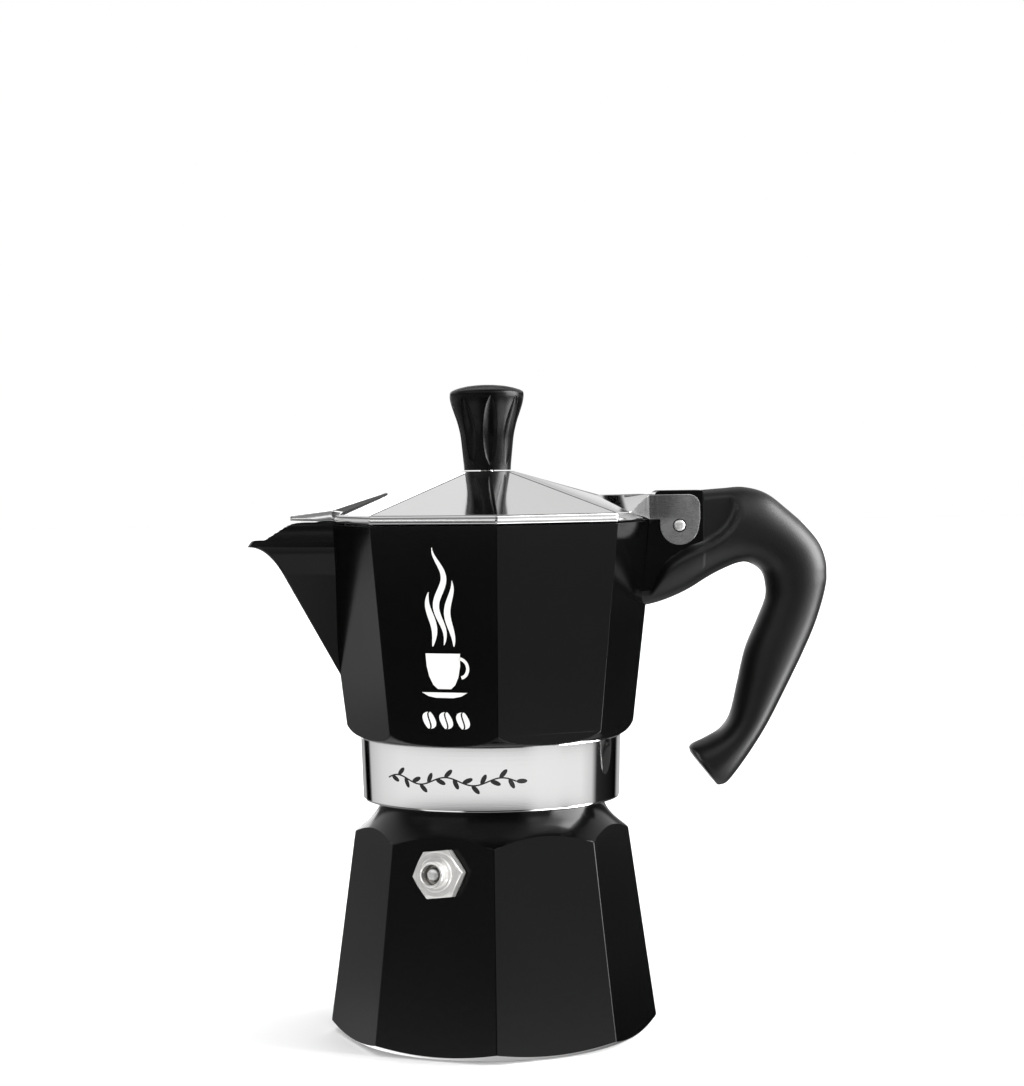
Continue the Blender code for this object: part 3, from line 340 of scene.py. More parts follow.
@dataclass(frozen=True)
class MouldedPlastic:
    """Black moulded plastic with a fine leathery grain."""

    colour: float = 0.0018
    roughness: float = 0.34
    ior: float = 1.52
    grain: float = 2300.0
    fine: float = 1.7
    worn_scale: float = 55.0
    worn_lightens: float = 1.5
    depth: float = 0.030 * MM
    strength: float = 0.6

    def make(self, name: str) -> Material:
        """Return the plastic with two sizes of grain and a slight polish by use."""
        made, g = new_graph(name)
        at = g.place()
        cells = g.node("ShaderNodeTexVoronoi", {"feature": "F1"},
                       {"Vector": at, "Scale": self.grain, "Randomness": 1.0})
        fine = g.noise(at, self.fine * self.grain, 2.0)
        worn = g.noise(at, self.worn_scale, 3.0)
        g.surface({
            "Base Color": g.mix(worn, grey(self.colour),
                                grey(self.colour * self.worn_lightens, 0.02)),
            "Roughness": self.roughness + 0.08 * worn + 0.06 * fine,
            "IOR": self.ior,
            "Normal": g.bump(0.6 * cells + fine, self.depth, self.strength)})
        return made


@dataclass(frozen=True)
class PlatedMetal:
    """Nickel or steel with light handling marks."""

    colour: tuple[float, float, float] = (0.86, 0.85, 0.83)
    roughness: float = 0.16
    scratch: float = 0.18
    scratch_scale: float = 2600.0
    scratch_depth: float = 0.005 * MM
    metal: float = 0.7
    cloud_scale: float = 320.0
    cloud_darkens: float = 0.9

    def make(self, name: str) -> Material:
        """Return the metal with faint scratches and a mottled tone."""
        made, g = new_graph(name)
        at = g.place()
        marks = g.noise(g.place(stretch=(1.0, 0.15, 1.0), turn=(0.3, 0.5, 0.2)),
                        self.scratch_scale, 2.0)
        cloud = g.noise(at, self.cloud_scale, 3.0)
        low = tuple(self.cloud_darkens * part for part in self.colour) + (1.0,)
        g.surface({
            "Base Color": g.mix(cloud, low, (*self.colour, 1.0)),
            "Metallic": self.metal,
            "Roughness": self.roughness + 0.08 * cloud,
            "Normal": g.bump(marks, self.scratch_depth, self.scratch)})
        return made


@dataclass(frozen=True)
class MattFinish:
    """Rubber seal or printed ink."""

    colour: tuple[float, float, float] = (0.72, 0.70, 0.64)
    roughness: float = 0.55
    depth: float = 0.02 * MM
    speck_scale: float = 1500.0
    cloud_scale: float = 120.0
    cloud_darkens: float = 0.88

    def make(self, name: str) -> Material:
        """Return a matt surface with a faint speckle."""
        made, g = new_graph(name)
        at = g.place()
        speck = g.noise(at, self.speck_scale, 3.0)
        cloud = g.noise(at, self.cloud_scale, 3.0)
        low = tuple(self.cloud_darkens * part for part in self.colour) + (1.0,)
        g.surface({
            "Base Color": g.mix(cloud, low, (*self.colour, 1.0)),
            "Roughness": self.roughness + 0.1 * speck,
            "Normal": g.bump(speck, self.depth, 0.4)})
        return made


class Shelf:
    """The finishes, each made once."""

    def __init__(self) -> None:
        """Make every finish of the pot."""
        self.coat = BlackCoat().make("black_coat")
        self.band = TurnedMetal(colour=0.90, roughness=0.045, strength=0.16,
                                spread=0.02).make("polished_band")
        self.lid = TurnedMetal(colour=0.86, roughness=0.06, rings=1900.0, strength=0.16,
                               spread=0.025).make("polished_lid")
        self.ears = BrushedSheet().make("brushed_ears")
        self.bare = TurnedMetal(colour=0.80, roughness=0.26, rings=1500.0, depth=0.01 * MM,
                                strength=0.4, cast=0.4).make("bare_aluminium")
        self.cast = TurnedMetal(colour=0.66, roughness=0.38, rings=900.0, depth=0.03 * MM,
                                strength=0.35, cast=1.6).make("cast_inside")
        self.handle = MouldedPlastic().make("grained_plastic")
        self.knob = MouldedPlastic(colour=0.0006, roughness=0.20, ior=1.3, grain=2600.0,
                                   strength=0.25).make("knob_plastic")
        self.nickel = PlatedMetal().make("nickel")
        self.dark_nickel = PlatedMetal(colour=(0.42, 0.40, 0.37), roughness=0.2,
                                       metal=1.0).make("dull_nickel")
        self.steel = PlatedMetal(colour=(0.80, 0.80, 0.79), roughness=0.2,
                                 scratch=0.3).make("steel")
        self.rubber = MattFinish().make("seal_rubber")
        self.ink = MattFinish(colour=(0.80, 0.80, 0.78), roughness=0.42,
                              depth=0.008 * MM).make("white_print")
        self.etch = MattFinish(colour=(0.012, 0.012, 0.012), roughness=0.5).make("etched_line")


# ---------------------------------------------------------------- workshop
class Join(Enum):
    """How one solid acts on another."""

    UNITE = "UNION"
    CUT = "DIFFERENCE"


@dataclass(frozen=True)
class Taper:
    """Eight flat walls between two level octagons whose corners lie on X and Y."""

    low_r: float
    low_z: float
    top_r: float
    top_z: float
    turn: float = 0.0

    def corner(self, z: float) -> float:
        """Corner radius at a height."""
        share = (z - self.low_z) / (self.top_z - self.low_z)
        return self.low_r + share * (self.top_r - self.low_r)

    def inset(self, wall: float) -> "Taper":
        """The same walls moved inward."""
        shift = wall / math.cos(HALF_FACET)
        return Taper(self.low_r - shift, self.low_z, self.top_r - shift, self.top_z, self.turn)

    def facing(self, index: int) -> float:
        """Direction that a facet faces, anticlockwise from +X."""
        return self.turn + (2 * index + 1) * HALF_FACET

    def planes(self) -> list[Plane]:
        """A point and the outward normal of each facet."""
        lean = (self.top_r - self.low_r) * math.cos(HALF_FACET) / (self.top_z - self.low_z)
        found = []
        for index in range(FACETS):
            angle = self.facing(index)
            out = Vector((math.cos(angle), math.sin(angle), 0))
            point = out * self.low_r * math.cos(HALF_FACET) + Vector((0, 0, self.low_z))
            found.append((point, Vector((out.x, out.y, -lean)).normalized()))
        return found


def lathe(profile: Iterable[Point2], steps: int = FINE, ring: bool = False) -> bmesh.types.BMesh:
    """Spin a profile about Z.

    Args:
        profile: Points as (radius, height), from axis to axis unless ring is true.
        steps: Sides of the turned shape.
        ring: Whether the profile closes on itself.

    Returns:
        A closed bmesh.
    """
    bm = bmesh.new()
    verts = [bm.verts.new((radius, 0.0, height)) for radius, height in profile]
    edges = [bm.edges.new(pair) for pair in zip(verts, verts[1:])]
    if ring:
        edges.append(bm.edges.new((verts[-1], verts[0])))
    bmesh.ops.spin(bm, geom=verts + edges, cent=(0, 0, 0), axis=(0, 0, 1),
                   angle=math.tau, steps=steps, use_merge=True)
    bmesh.ops.remove_doubles(bm, verts=bm.verts, dist=1e-7)
    bmesh.ops.recalc_face_normals(bm, faces=bm.faces)
    return bm


def shave(bm: bmesh.types.BMesh, planes: Sequence[Plane], shortest: float = 0.35 * MM) -> None:
    """Plane off what lies beyond each flat, close it, and weld the slivers on its border.

    Args:
        bm: The solid, changed in place.
        planes: A point and the outward normal of each flat.
        shortest: Edges below this length are welded away.
    """
    for point, normal in planes:
        cut = bmesh.ops.bisect_plane(bm, geom=bm.verts[:] + bm.edges[:] + bm.faces[:],
                                     dist=1e-7, plane_co=point, plane_no=normal,
                                     clear_outer=True)
        rim = [item for item in cut["geom_cut"] if isinstance(item, bmesh.types.BMEdge)]
        if rim:
            bmesh.ops.edgeloop_fill(bm, edges=rim)

    def held(vert: bmesh.types.BMVert) -> int:
        """How many flats a vertex lies on."""
        return sum(abs((vert.co - point).dot(normal)) < 1e-6 for point, normal in planes)

    welds: dict = {}
    for edge in bm.edges:
        first, second = edge.verts
        if edge.calc_length() < shortest and not {first, second} & (
                set(welds) | set(welds.values())):
            if held(first) > held(second):
                welds[second] = first
            elif held(second) > held(first) or held(first):
                welds[first] = second
    bmesh.ops.weld_verts(bm, targetmap=welds)
    bmesh.ops.recalc_face_normals(bm, faces=bm.faces)


def soften(bm: bmesh.types.BMesh, width: float, sharper: float = 20.0, segments: int = 2,
           chosen: Callable[[bmesh.types.BMEdge], bool] = lambda edge: True,
           clamp: bool = False) -> None:
    """Round the edges of a solid.

    Args:
        bm: The solid, changed in place.
        width: Width of the rounding on each side of an edge.
        sharper: Only edges that turn more than this, in degrees, are rounded.
        segments: Steps of the rounding.
        chosen: A test that an edge has to pass as well.
        clamp: Whether a rounding stops where it would meet the next one.
    """
    limit = math.radians(sharper)
    edges = [edge for edge in bm.edges
             if edge.is_manifold and edge.calc_face_angle(0.0) > limit and chosen(edge)]
    bmesh.ops.bevel(bm, geom=edges, offset=width, offset_type="OFFSET", segments=segments,
                    profile=0.5, affect="EDGES", material=-1, clamp_overlap=clamp)


def loft(rings: Sequence[Sequence[Point3]]) -> bmesh.types.BMesh:
    """Carry a closed ring of points through the next rings and cap both ends.

    Args:
        rings: Rings with equally many points, in order.

    Returns:
        A closed bmesh.
    """
    bm = bmesh.new()
    verts = [bm.verts.new(point) for point in rings[0]]
    edges = [bm.edges.new((vert, verts[(k + 1) % len(verts)])) for k, vert in enumerate(verts)]
    caps = [bm.faces.new(verts)]
    for ring in rings[1:]:
        grown = bmesh.ops.extrude_edge_only(bm, edges=edges)["geom"]
        new = [item for item in grown if isinstance(item, bmesh.types.BMVert)]
        lookup = {}
        for vert in new:
            for edge in vert.link_edges:
                other = edge.other_vert(vert)
                if other in verts:
                    lookup[other] = vert
        verts = [lookup[vert] for vert in verts]
        for vert, point in zip(verts, ring):
            vert.co = point
        edges = [item for item in grown if isinstance(item, bmesh.types.BMEdge)
                 and item.verts[0] in new and item.verts[1] in new]
    caps.append(bm.faces.new(verts))
    bmesh.ops.recalc_face_normals(bm, faces=bm.faces)
    return bm


def slab(outline: Sequence[Point2], y_low: float, y_high: float) -> bmesh.types.BMesh:
    """Extrude an XZ outline along Y.

    Args:
        outline: Corners as (x, z).
        y_low: Where the slab starts.
        y_high: Where it ends.

    Returns:
        A closed bmesh.
    """
    bm = bmesh.new()
    face = bm.faces.new([bm.verts.new((x, y_low, z)) for x, z in outline])
    grown = bmesh.ops.extrude_face_region(bm, geom=[face])["geom"]
    bmesh.ops.translate(bm, vec=(0, y_high - y_low, 0),
                        verts=[item for item in grown if isinstance(item, bmesh.types.BMVert)])
    bmesh.ops.recalc_face_normals(bm, faces=bm.faces)
    return bm


def hull(points: Iterable[Point3]) -> bmesh.types.BMesh:
    """Convex hull of points, with flat faces whole."""
    bm = bmesh.new()
    for point in points:
        bm.verts.new(point)
    bmesh.ops.convex_hull(bm, input=bm.verts, use_existing_faces=False)
    bmesh.ops.dissolve_limit(bm, angle_limit=math.radians(0.1), verts=bm.verts, edges=bm.edges)
    bmesh.ops.recalc_face_normals(bm, faces=bm.faces)
    return bm


def octagon(corner_r: float, z: float) -> list[Point3]:
    """Corners of a level octagon, the first one toward +X."""
    return [(corner_r * math.cos(2 * k * HALF_FACET), corner_r * math.sin(2 * k * HALF_FACET), z)
            for k in range(FACETS)]


def bezier(points: Sequence[Point2], steps: int) -> list[Point2]:
    """Points of a quadratic curve.

    Args:
        points: Its three control points.
        steps: How many steps it is divided into.

    Returns:
        One point more than there are steps.
    """
    (ax, az), (bx, bz), (cx, cz) = points
    shares = [k / steps for k in range(steps + 1)]
    return [((1 - t) ** 2 * ax + 2 * t * (1 - t) * bx + t * t * cx,
             (1 - t) ** 2 * az + 2 * t * (1 - t) * bz + t * t * cz) for t in shares]


def smooth_line(knots: Sequence[Sequence[float]], per_span: int) -> list[Vector]:
    """Smooth curve through knots.

    Args:
        knots: Points with any number of coordinates.
        per_span: Steps between two knots.

    Returns:
        The points of the curve, both end knots included.
    """
    ends = [Vector(knot) for knot in (knots[0], *knots, knots[-1])]
    found = []
    for k in range(1, len(ends) - 2):
        before, start, stop, after = ends[k - 1:k + 3]
        for step in range(per_span):
            t = step / per_span
            found.append(0.5 * ((2 * start) + (stop - before) * t
                                + (2 * before - 5 * start + 4 * stop - after) * t * t
                                + (3 * start - before - 3 * stop + after) * t ** 3))
    return found + [Vector(knots[-1])]


def smoothstep(value: float) -> float:
    """Ease a value from 0 to 1."""
    value = min(1.0, max(0.0, value))
    return value * value * (3 - 2 * value)


def about(centre: Vector, angle: float, axis: str) -> Matrix:
    """Turn about an axis through a point."""
    return Matrix.Translation(centre) @ Matrix.Rotation(angle, 4, axis)


def paint(bm: bmesh.types.BMesh, index: int,
          where: Callable[[bmesh.types.BMFace], bool] = lambda face: True) -> bmesh.types.BMesh:
    """Give the faces that a test picks a finish by number."""
    for face in bm.faces:
        if where(face):
            face.material_index = index
    return bm


def blank(name: str, bm: bmesh.types.BMesh, finishes: Sequence[Material]) -> Object:
    """Turn a bmesh into an object with smooth faces.

    Args:
        name: The object's name.
        bm: Its shape, freed afterwards.
        finishes: The finishes that its faces pick by number.

    Returns:
        The object, linked to the scene.
    """
    mesh = bpy.data.meshes.new(name)
    for finish in finishes:
        mesh.materials.append(finish)
    for face in bm.faces:
        face.smooth = True
    bm.to_mesh(mesh)
    bm.free()
    made = bpy.data.objects.new(name, mesh)
    bpy.context.scene.collection.objects.link(made)
    return made


def combine(target: Object, tool: bmesh.types.BMesh, join: Join) -> None:
    """Unite or cut a solid with another, and keep the result as its mesh.

    Args:
        target: The object that is changed.
        tool: The other solid, freed afterwards.
        join: What the other solid does.
    """
    other = blank("tool", tool, target.data.materials[:])
    step = target.modifiers.new("join", "BOOLEAN")
    step.operation = join.value
    step.solver = "EXACT"
    step.object = other
    graph = bpy.context.evaluated_depsgraph_get()
    mesh = bpy.data.meshes.new_from_object(target.evaluated_get(graph))
    target.modifiers.clear()
    target.data = mesh
    bpy.data.objects.remove(other)


def finish_piece(made: Object, body: str, sharp: float = 34.0) -> Object:
    """Set a piece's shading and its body.

    Args:
        made: The piece.
        body: The body that it rides on.
        sharp: Edges that turn more than this, in degrees, are shaded sharp.

    Returns:
        The same piece.
    """
    made.data.name = made.name
    made.data.set_sharp_from_angle(angle=math.radians(sharp))
    weigh = made.modifiers.new("weigh", "WEIGHTED_NORMAL")
    weigh.keep_sharp = True
    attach(made, body)
    log.info("%s: %d faces on %s", made.name, len(made.data.polygons), body)
    return made


def piece(name: str, bm: bmesh.types.BMesh, finishes: Sequence[Material], body: str,
          sharp: float = 34.0) -> Object:
    """Make a finished piece straight from a bmesh, as blank and finish_piece do in turn."""
    return finish_piece(blank(name, bm, finishes), body, sharp)


def dress(node: str, finish: Material) -> None:
    """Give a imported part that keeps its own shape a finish."""
    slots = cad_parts[node].data.materials
    slots.clear()
    slots.append(finish)


def facet_frame(walls: Taper, index: int, z: float) -> Matrix:
    """Frame on a facet: +X across it, +Y up the wall, +Z outward, origin in its middle.

    Args:
        walls: The eight walls.
        index: Which facet, anticlockwise from +X.
        z: Height of the origin.

    Returns:
        The matrix from the facet's frame to the pot's.
    """
    point, normal = walls.planes()[index]
    angle = walls.facing(index)
    across = Vector((-math.sin(angle), math.cos(angle), 0))
    up_wall = normal.cross(across)
    middle = point + up_wall * ((z - point.z) / up_wall.z)
    return Matrix.Translation(middle) @ Matrix((across, up_wall, normal)).transposed().to_4x4()


def rise_solid(bm: bmesh.types.BMesh, height: float) -> None:
    """Give flat faces in the XY plane a thickness along Z."""
    grown = bmesh.ops.extrude_face_region(bm, geom=bm.faces[:])["geom"]
    bmesh.ops.translate(bm, vec=(0, 0, height),
                        verts=[item for item in grown if isinstance(item, bmesh.types.BMVert)])
    bmesh.ops.recalc_face_normals(bm, faces=bm.faces)


def add_ribbon(bm: bmesh.types.BMesh, path: Sequence[tuple[float, float, float]]) -> None:
    """Lay a flat strip along a path.

    Args:
        bm: The drawing that it joins, in the XY plane.
        path: Points as (x, y, half width).
    """
    points = [Vector((x, y, 0)) for x, y, _ in path]
    pair = None
    for k, (_, _, half) in enumerate(path):
        run = points[min(k + 1, len(path) - 1)] - points[max(k - 1, 0)]
        side = Vector((-run.y, run.x, 0)).normalized() * half
        places = (points[k] - side, points[k] + side)
        if pair is None:
            pair = [bm.verts.new(place) for place in places]
            edge = bm.edges.new(pair)
            continue
        grown = bmesh.ops.extrude_edge_only(bm, edges=[edge])["geom"]
        new = [item for item in grown if isinstance(item, bmesh.types.BMVert)]
        if any(other.other_vert(new[0]) is pair[1] for other in new[0].link_edges):
            new.reverse()
        for vert, place in zip(new, places):
            vert.co = place
        pair = new
        edge = bm.edges.get(new)


def add_patch(bm: bmesh.types.BMesh, outline: Sequence[Point2]) -> None:
    """Lay a flat patch with this outline."""
    bm.faces.new([bm.verts.new((x, y, 0)) for x, y in outline])


def ellipse(x: float, y: float, wide: float, high: float, turn: float = 0.0,
            count: int = 24) -> list[Point2]:
    """Outline of an ellipse.

    Args:
        x: Its centre.
        y: Its centre.
        wide: Half its width.
        high: Half its height.
        turn: How far it is turned, in radians.
        count: Number of points.

    Returns:
        The points, anticlockwise.
    """
    c, s = math.cos(turn), math.sin(turn)
    found = []
    for k in range(count):
        u, v = wide * math.cos(math.tau * k / count), high * math.sin(math.tau * k / count)
        found.append((x + c * u - s * v, y + s * u + c * v))
    return found


def add_thread(name: str, root_r: float, toward: float, low_z: float, finish: Material,
               body: str) -> Object:
    """Helical ridge on a wall of radius root_r, made by a rising spin.

    Args:
        name: The piece's name.
        root_r: Radius of the wall.
        toward: +1 for a ridge that points out, -1 for one that points in.
        low_z: Height of the first turn's middle.
        finish: The ridge's finish.
        body: The body that it rides on.

    Returns:
        The finished ridge.
    """
    bm = bmesh.new()
    buried, depth, foot_half, crest_half = 0.35 * MM, 1.25 * MM, 0.75 * MM, 0.3 * MM
    foot, crest = root_r - toward * buried, root_r + toward * depth
    section = [(foot, -foot_half), (crest, -crest_half), (crest, crest_half), (foot, foot_half)]
    verts = [bm.verts.new((radius, 0, low_z + rise)) for radius, rise in section]
    edges = [bm.edges.new((vert, verts[(k + 1) % 4])) for k, vert in enumerate(verts)]
    steps = round(64 * THREAD_TURNS)
    bmesh.ops.spin(bm, geom=verts + edges, cent=(0, 0, 0), axis=(0, 0, 1),
                   dvec=(0, 0, THREAD_PITCH * THREAD_TURNS / steps),
                   angle=math.tau * THREAD_TURNS, steps=steps)
    bmesh.ops.holes_fill(bm, edges=bm.edges)
    bmesh.ops.recalc_face_normals(bm, faces=bm.faces)
    return piece(name, bm, [finish], body)


# ---------------------------------------------------------------- boiler
@dataclass
class Boiler:
    """Octagonal water vessel with a turned foot, shoulder and threaded neck."""

    shelf: Shelf
    base_r: float = 44.0 * MM
    foot_z: float = 2.5 * MM
    foot_slope: float = 0.54
    height: float = 53.9 * MM
    shoulder_r: float = 36.9 * MM
    shoulder_rise: float = 8.3 * MM
    neck_r: float = 30.1 * MM
    neck_top: float = 75.0 * MM
    bore_r: float = 27.5 * MM
    coated_z: float = 64.6 * MM
    thread_z: float = 66.3 * MM
    lip: float = 0.5 * MM
    foot_ring: float = 5.6 * MM
    foot_hollow: float = 0.6 * MM
    wall: float = 3.0 * MM
    floor: float = 3.5 * MM
    turn: float = math.radians(-2.0)

    @property
    def walls(self) -> Taper:
        """The eight outer facets."""
        return Taper(self.base_r, self.foot_z, self.shoulder_r, self.height, self.turn)

    def shoulder(self) -> list[Point2]:
        """Concave curve from the octagon's corners up to the neck."""
        run = self.shoulder_r - self.neck_r
        bend = (self.neck_r + 0.1 * run, self.height + 0.5 * self.shoulder_rise)
        return bezier(((self.shoulder_r, self.height), bend,
                       (self.neck_r, self.height + self.shoulder_rise)), 14)

    def build_shell(self) -> Object:
        """Turn the blank, plane its flats, round the edges and hollow it."""
        wide = 1.2 * self.base_r
        foot_r = self.base_r - self.foot_z / self.foot_slope
        shoulder = self.shoulder()
        slope = (shoulder[1][1] - shoulder[0][1]) / (shoulder[0][0] - shoulder[1][0])
        hollow, lip = self.foot_hollow, self.lip
        profile = [(0, hollow), (foot_r - 5 * MM, hollow), (foot_r - self.foot_ring, 0),
                   (foot_r - 0.5 * MM, 0), (foot_r, 0.2 * MM),
                   (wide, (wide - foot_r) * self.foot_slope),
                   (wide, self.height - slope * (wide - self.shoulder_r)), *shoulder,
                   (self.neck_r, self.coated_z), (self.neck_r, self.neck_top - lip),
                   (self.neck_r - lip, self.neck_top), (0, self.neck_top)]
        bm = lathe(profile)
        bmesh.ops.rotate(bm, verts=bm.verts, cent=(0, 0, 0),
                         matrix=Matrix.Rotation(self.turn, 3, "Z"))
        shave(bm, self.walls.planes())
        soften(bm, EDGE, chosen=self._outer_edge)
        paint(bm, 1, self._bare)
        shell = blank("boiler_vessel", bm, [self.shelf.coat, self.shelf.bare, self.shelf.cast])
        combine(shell, paint(self._inside(), 2), Join.CUT)
        return shell

    def _outer_edge(self, edge: bmesh.types.BMEdge) -> bool:
        """Whether an edge borders a facet and isn't on the foot or the curve of the shoulder."""
        low, high, inner_r, scallops = 0.7 * MM, self.height + 0.5 * MM, 36.0 * MM, 14 * MM
        middle = (edge.verts[0].co + edge.verts[1].co) / 2
        return middle.z < high and (middle.z > self.height - scallops
                                    or middle.z > low and middle.xy.length > inner_r)

    def _bare(self, face: bmesh.types.BMFace) -> bool:
        """Whether a face is the foot or the thread's part of the neck, left uncoated."""
        turned_z, facing_down = 12 * MM, -0.35
        middle = face.calc_center_median()
        if middle.z > self.coated_z:
            return True
        return face.normal.z < facing_down and middle.z < turned_z

    def _inside(self) -> bmesh.types.BMesh:
        """Cutter of the round water space."""
        def radius(z: float) -> float:
            """Inside radius at a height."""
            return self.walls.corner(z) * math.cos(HALF_FACET) - self.wall

        top, over = self.height - MM, self.neck_top + MM
        return lathe([(0, self.floor), (radius(self.floor) - 2 * MM, self.floor),
                      (radius(self.floor) - 0.6 * MM, self.floor + 0.6 * MM),
                      (radius(self.floor + 2 * MM), self.floor + 2 * MM),
                      (radius(top), top), (self.bore_r, top + 4.5 * MM),
                      (self.bore_r, self.neck_top - 0.4 * MM),
                      (self.bore_r + 0.4 * MM, self.neck_top), (self.bore_r + 0.4 * MM, over),
                      (0, over)], FINE // 2)

    def build(self) -> None:
        """Build the vessel and its thread."""
        shell = finish_piece(self.build_shell(), "boiler")
        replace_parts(shell, "boiler")
        add_thread("boiler_neck_thread", self.neck_r, 1, self.thread_z, self.shelf.bare,
                   "boiler")


@dataclass
class Valve:
    """Pressure valve in the boiler's left front facet."""

    shelf: Shelf
    walls: Taper
    height: float = 47.1 * MM
    facet: int = 5
    tube_r: float = 3.4 * MM
    bore_r: float = 2.6 * MM
    reach: float = 7.6 * MM
    flats: float = 12.0 * MM
    nut_low: float = 0.3 * MM
    nut_top: float = 3.8 * MM
    nut_turn: float = math.radians(7.0)
    collar_r: float = 4.5 * MM
    collar: float = 0.7 * MM
    flange_r: float = 5.6 * MM
    flange_low: float = -8.2 * MM
    flange_top: float = -6.7 * MM
    port_r: float = 1.2 * MM
    port_z: float = -3.0 * MM
    pin_r: float = 1.5 * MM
    pin_recess: float = 1.0 * MM
    dome: float = 0.55 * MM
    head_r: float = 2.3 * MM
    head_low: float = -1.7 * MM
    head_top: float = -0.9 * MM
    coil_r: float = 2.02 * MM
    wire_r: float = 0.22 * MM
    coil_low: float = -0.38 * MM
    coil_high: float = 3.38 * MM
    coils: int = 4

    def build(self) -> None:
        """Build nut, tube, plunger and spring, and dress what stays from the part."""
        place = facet_frame(self.walls, self.facet, self.height)
        for bm, name, finish, body, slot, node in (
                (self._nut(), "valve_hex_nut", self.shelf.nickel, "boiler", "nickel",
                 "valve_nut"),
                (self._tube(), "valve_tube", self.shelf.nickel, "boiler", "brass",
                 "valve_body"),
                (self._plunger(), "valve_pin", self.shelf.steel, "plunger", "steel",
                 "valve_plunger")):
            bmesh.ops.transform(bm, matrix=place, verts=bm.verts)
            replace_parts(piece(name, bm, [finish], body, 30.0), node)
        bm = self._spring()
        bmesh.ops.transform(bm, matrix=place, verts=bm.verts)
        spring = blank("coil_spring", bm, [self.shelf.steel])
        spring.data.name = spring.name
        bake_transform(spring)
        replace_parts(spring, "valve_spring")
        dress("valve_washer", self.shelf.rubber)
        dress("valve_retainer", self.shelf.dark_nickel)

    def _nut(self) -> bmesh.types.BMesh:
        """Turn a chamfered blank and plane six flats on it."""
        face_inset, slope, clearance = 1.25 * MM, 0.6, 0.1 * MM
        corner = self.flats / 2 / math.cos(math.pi / 6)
        face_r = corner - face_inset
        wide = 1.3 * corner
        bore = self.tube_r + clearance
        chamfer = slope * (wide - face_r)
        bm = lathe([(bore, self.nut_low), (wide, self.nut_low), (wide, self.nut_top - chamfer),
                    (face_r, self.nut_top), (bore + 0.3 * MM, self.nut_top),
                    (bore, self.nut_top - 0.3 * MM)], 72, ring=True)
        flats = []
        for side in range(6):
            angle = self.nut_turn + (2 * side + 1) * math.pi / 6
            out = Vector((math.cos(angle), math.sin(angle), 0))
            flats.append((out * self.flats / 2, out))
        shave(bm, flats, 0.12 * MM)
        soften(bm, 0.10 * MM, 25.0)
        return bm

    def _tube(self) -> bmesh.types.BMesh:
        """Valve body with its collar, seen through the nut, and its flange inside."""
        edge, sunk = 0.25 * MM, 0.2 * MM
        top, collar = self.reach, self.nut_top + self.collar
        return lathe([(self.port_r, self.flange_low), (self.flange_r, self.flange_low),
                      (self.flange_r, self.flange_top), (self.tube_r, self.flange_top),
                      (self.tube_r, self.nut_top - sunk), (self.collar_r, self.nut_top - sunk),
                      (self.collar_r, collar - edge), (self.collar_r - edge, collar),
                      (self.tube_r + edge, collar), (self.tube_r, collar + edge),
                      (self.tube_r, top - 0.5 * MM), (self.tube_r - 0.15 * MM, top - 0.15 * MM),
                      (self.tube_r - 0.45 * MM, top), (self.bore_r + edge, top),
                      (self.bore_r, top - edge), (self.bore_r, self.port_z + MM),
                      (self.port_r, self.port_z)], SMALL, ring=True)

    def _plunger(self) -> bmesh.types.BMesh:
        """Plunger with a domed head that shows in the tube."""
        top = self.reach - self.pin_recess
        dome = [(self.pin_r * math.cos(a), top - self.dome + self.dome * math.sin(a))
                for a in (math.radians(15 * k) for k in range(6))]
        return lathe([(0, self.head_low), (self.head_r, self.head_low),
                      (self.head_r, self.head_top), (self.pin_r, self.head_top), *dome,
                      (0, top)], SMALL)

    def _spring(self) -> bmesh.types.BMesh:
        """Coil between the plunger's flange and the retaining ring."""
        per_coil, sides = 28, 10
        steps = self.coils * per_coil
        line = []
        for k in range(steps + 1):
            angle = math.tau * k / per_coil
            out = Vector((math.cos(angle), math.sin(angle), 0))
            height = self.coil_low + (self.coil_high - self.coil_low) * k / steps
            centre = self.coil_r * out + Vector((0, 0, height))
            line.append([tuple(centre + self.wire_r * (out * math.cos(a)
                                                       + Vector((0, 0, math.sin(a)))))
                         for a in (math.tau * j / sides for j in range(sides))])
        return loft(line)


@dataclass
class Basket:
    """Coffee funnel and the sieve in it."""

    shelf: Shelf

    def build(self) -> None:
        """Build the funnel with rounded bends, and dress its sieve."""
        sheet = 0.8 * MM
        low_z, flange_z = 54.3 * MM, 75.3 * MM
        outer_r, stem_r, flange_r = 27.0 * MM, 4.0 * MM, 29.6 * MM
        inner_r, bore_r = outer_r - sheet, stem_r - sheet
        cone_low, stem_low = low_z - 8.0 * MM, 9.0 * MM
        bend = 0.9 * MM
        profile = [(stem_r, stem_low), (stem_r, cone_low - 0.6 * MM),
                   (stem_r + bend, cone_low + 0.35 * MM), (outer_r - bend, low_z - 0.35 * MM),
                   (outer_r, low_z + bend), (outer_r, flange_z - 0.4 * MM),
                   (outer_r + 0.4 * MM, flange_z), (flange_r - 0.3 * MM, flange_z),
                   (flange_r, flange_z + 0.3 * MM), (flange_r, flange_z + 0.5 * MM),
                   (flange_r - 0.3 * MM, flange_z + sheet), (inner_r + 0.5 * MM, flange_z + sheet),
                   (inner_r, flange_z + 0.3 * MM), (inner_r, low_z + sheet),
                   (inner_r - 1.4 * MM, low_z + sheet),
                   (bore_r + 0.3 * MM, cone_low + sheet + 0.2 * MM), (bore_r, cone_low),
                   (bore_r, stem_low)]
        made = piece("coffee_funnel", lathe(profile, ring=True), [self.shelf.bare], "basket")
        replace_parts(made, "funnel")
        dress("funnel_screen", self.shelf.bare)


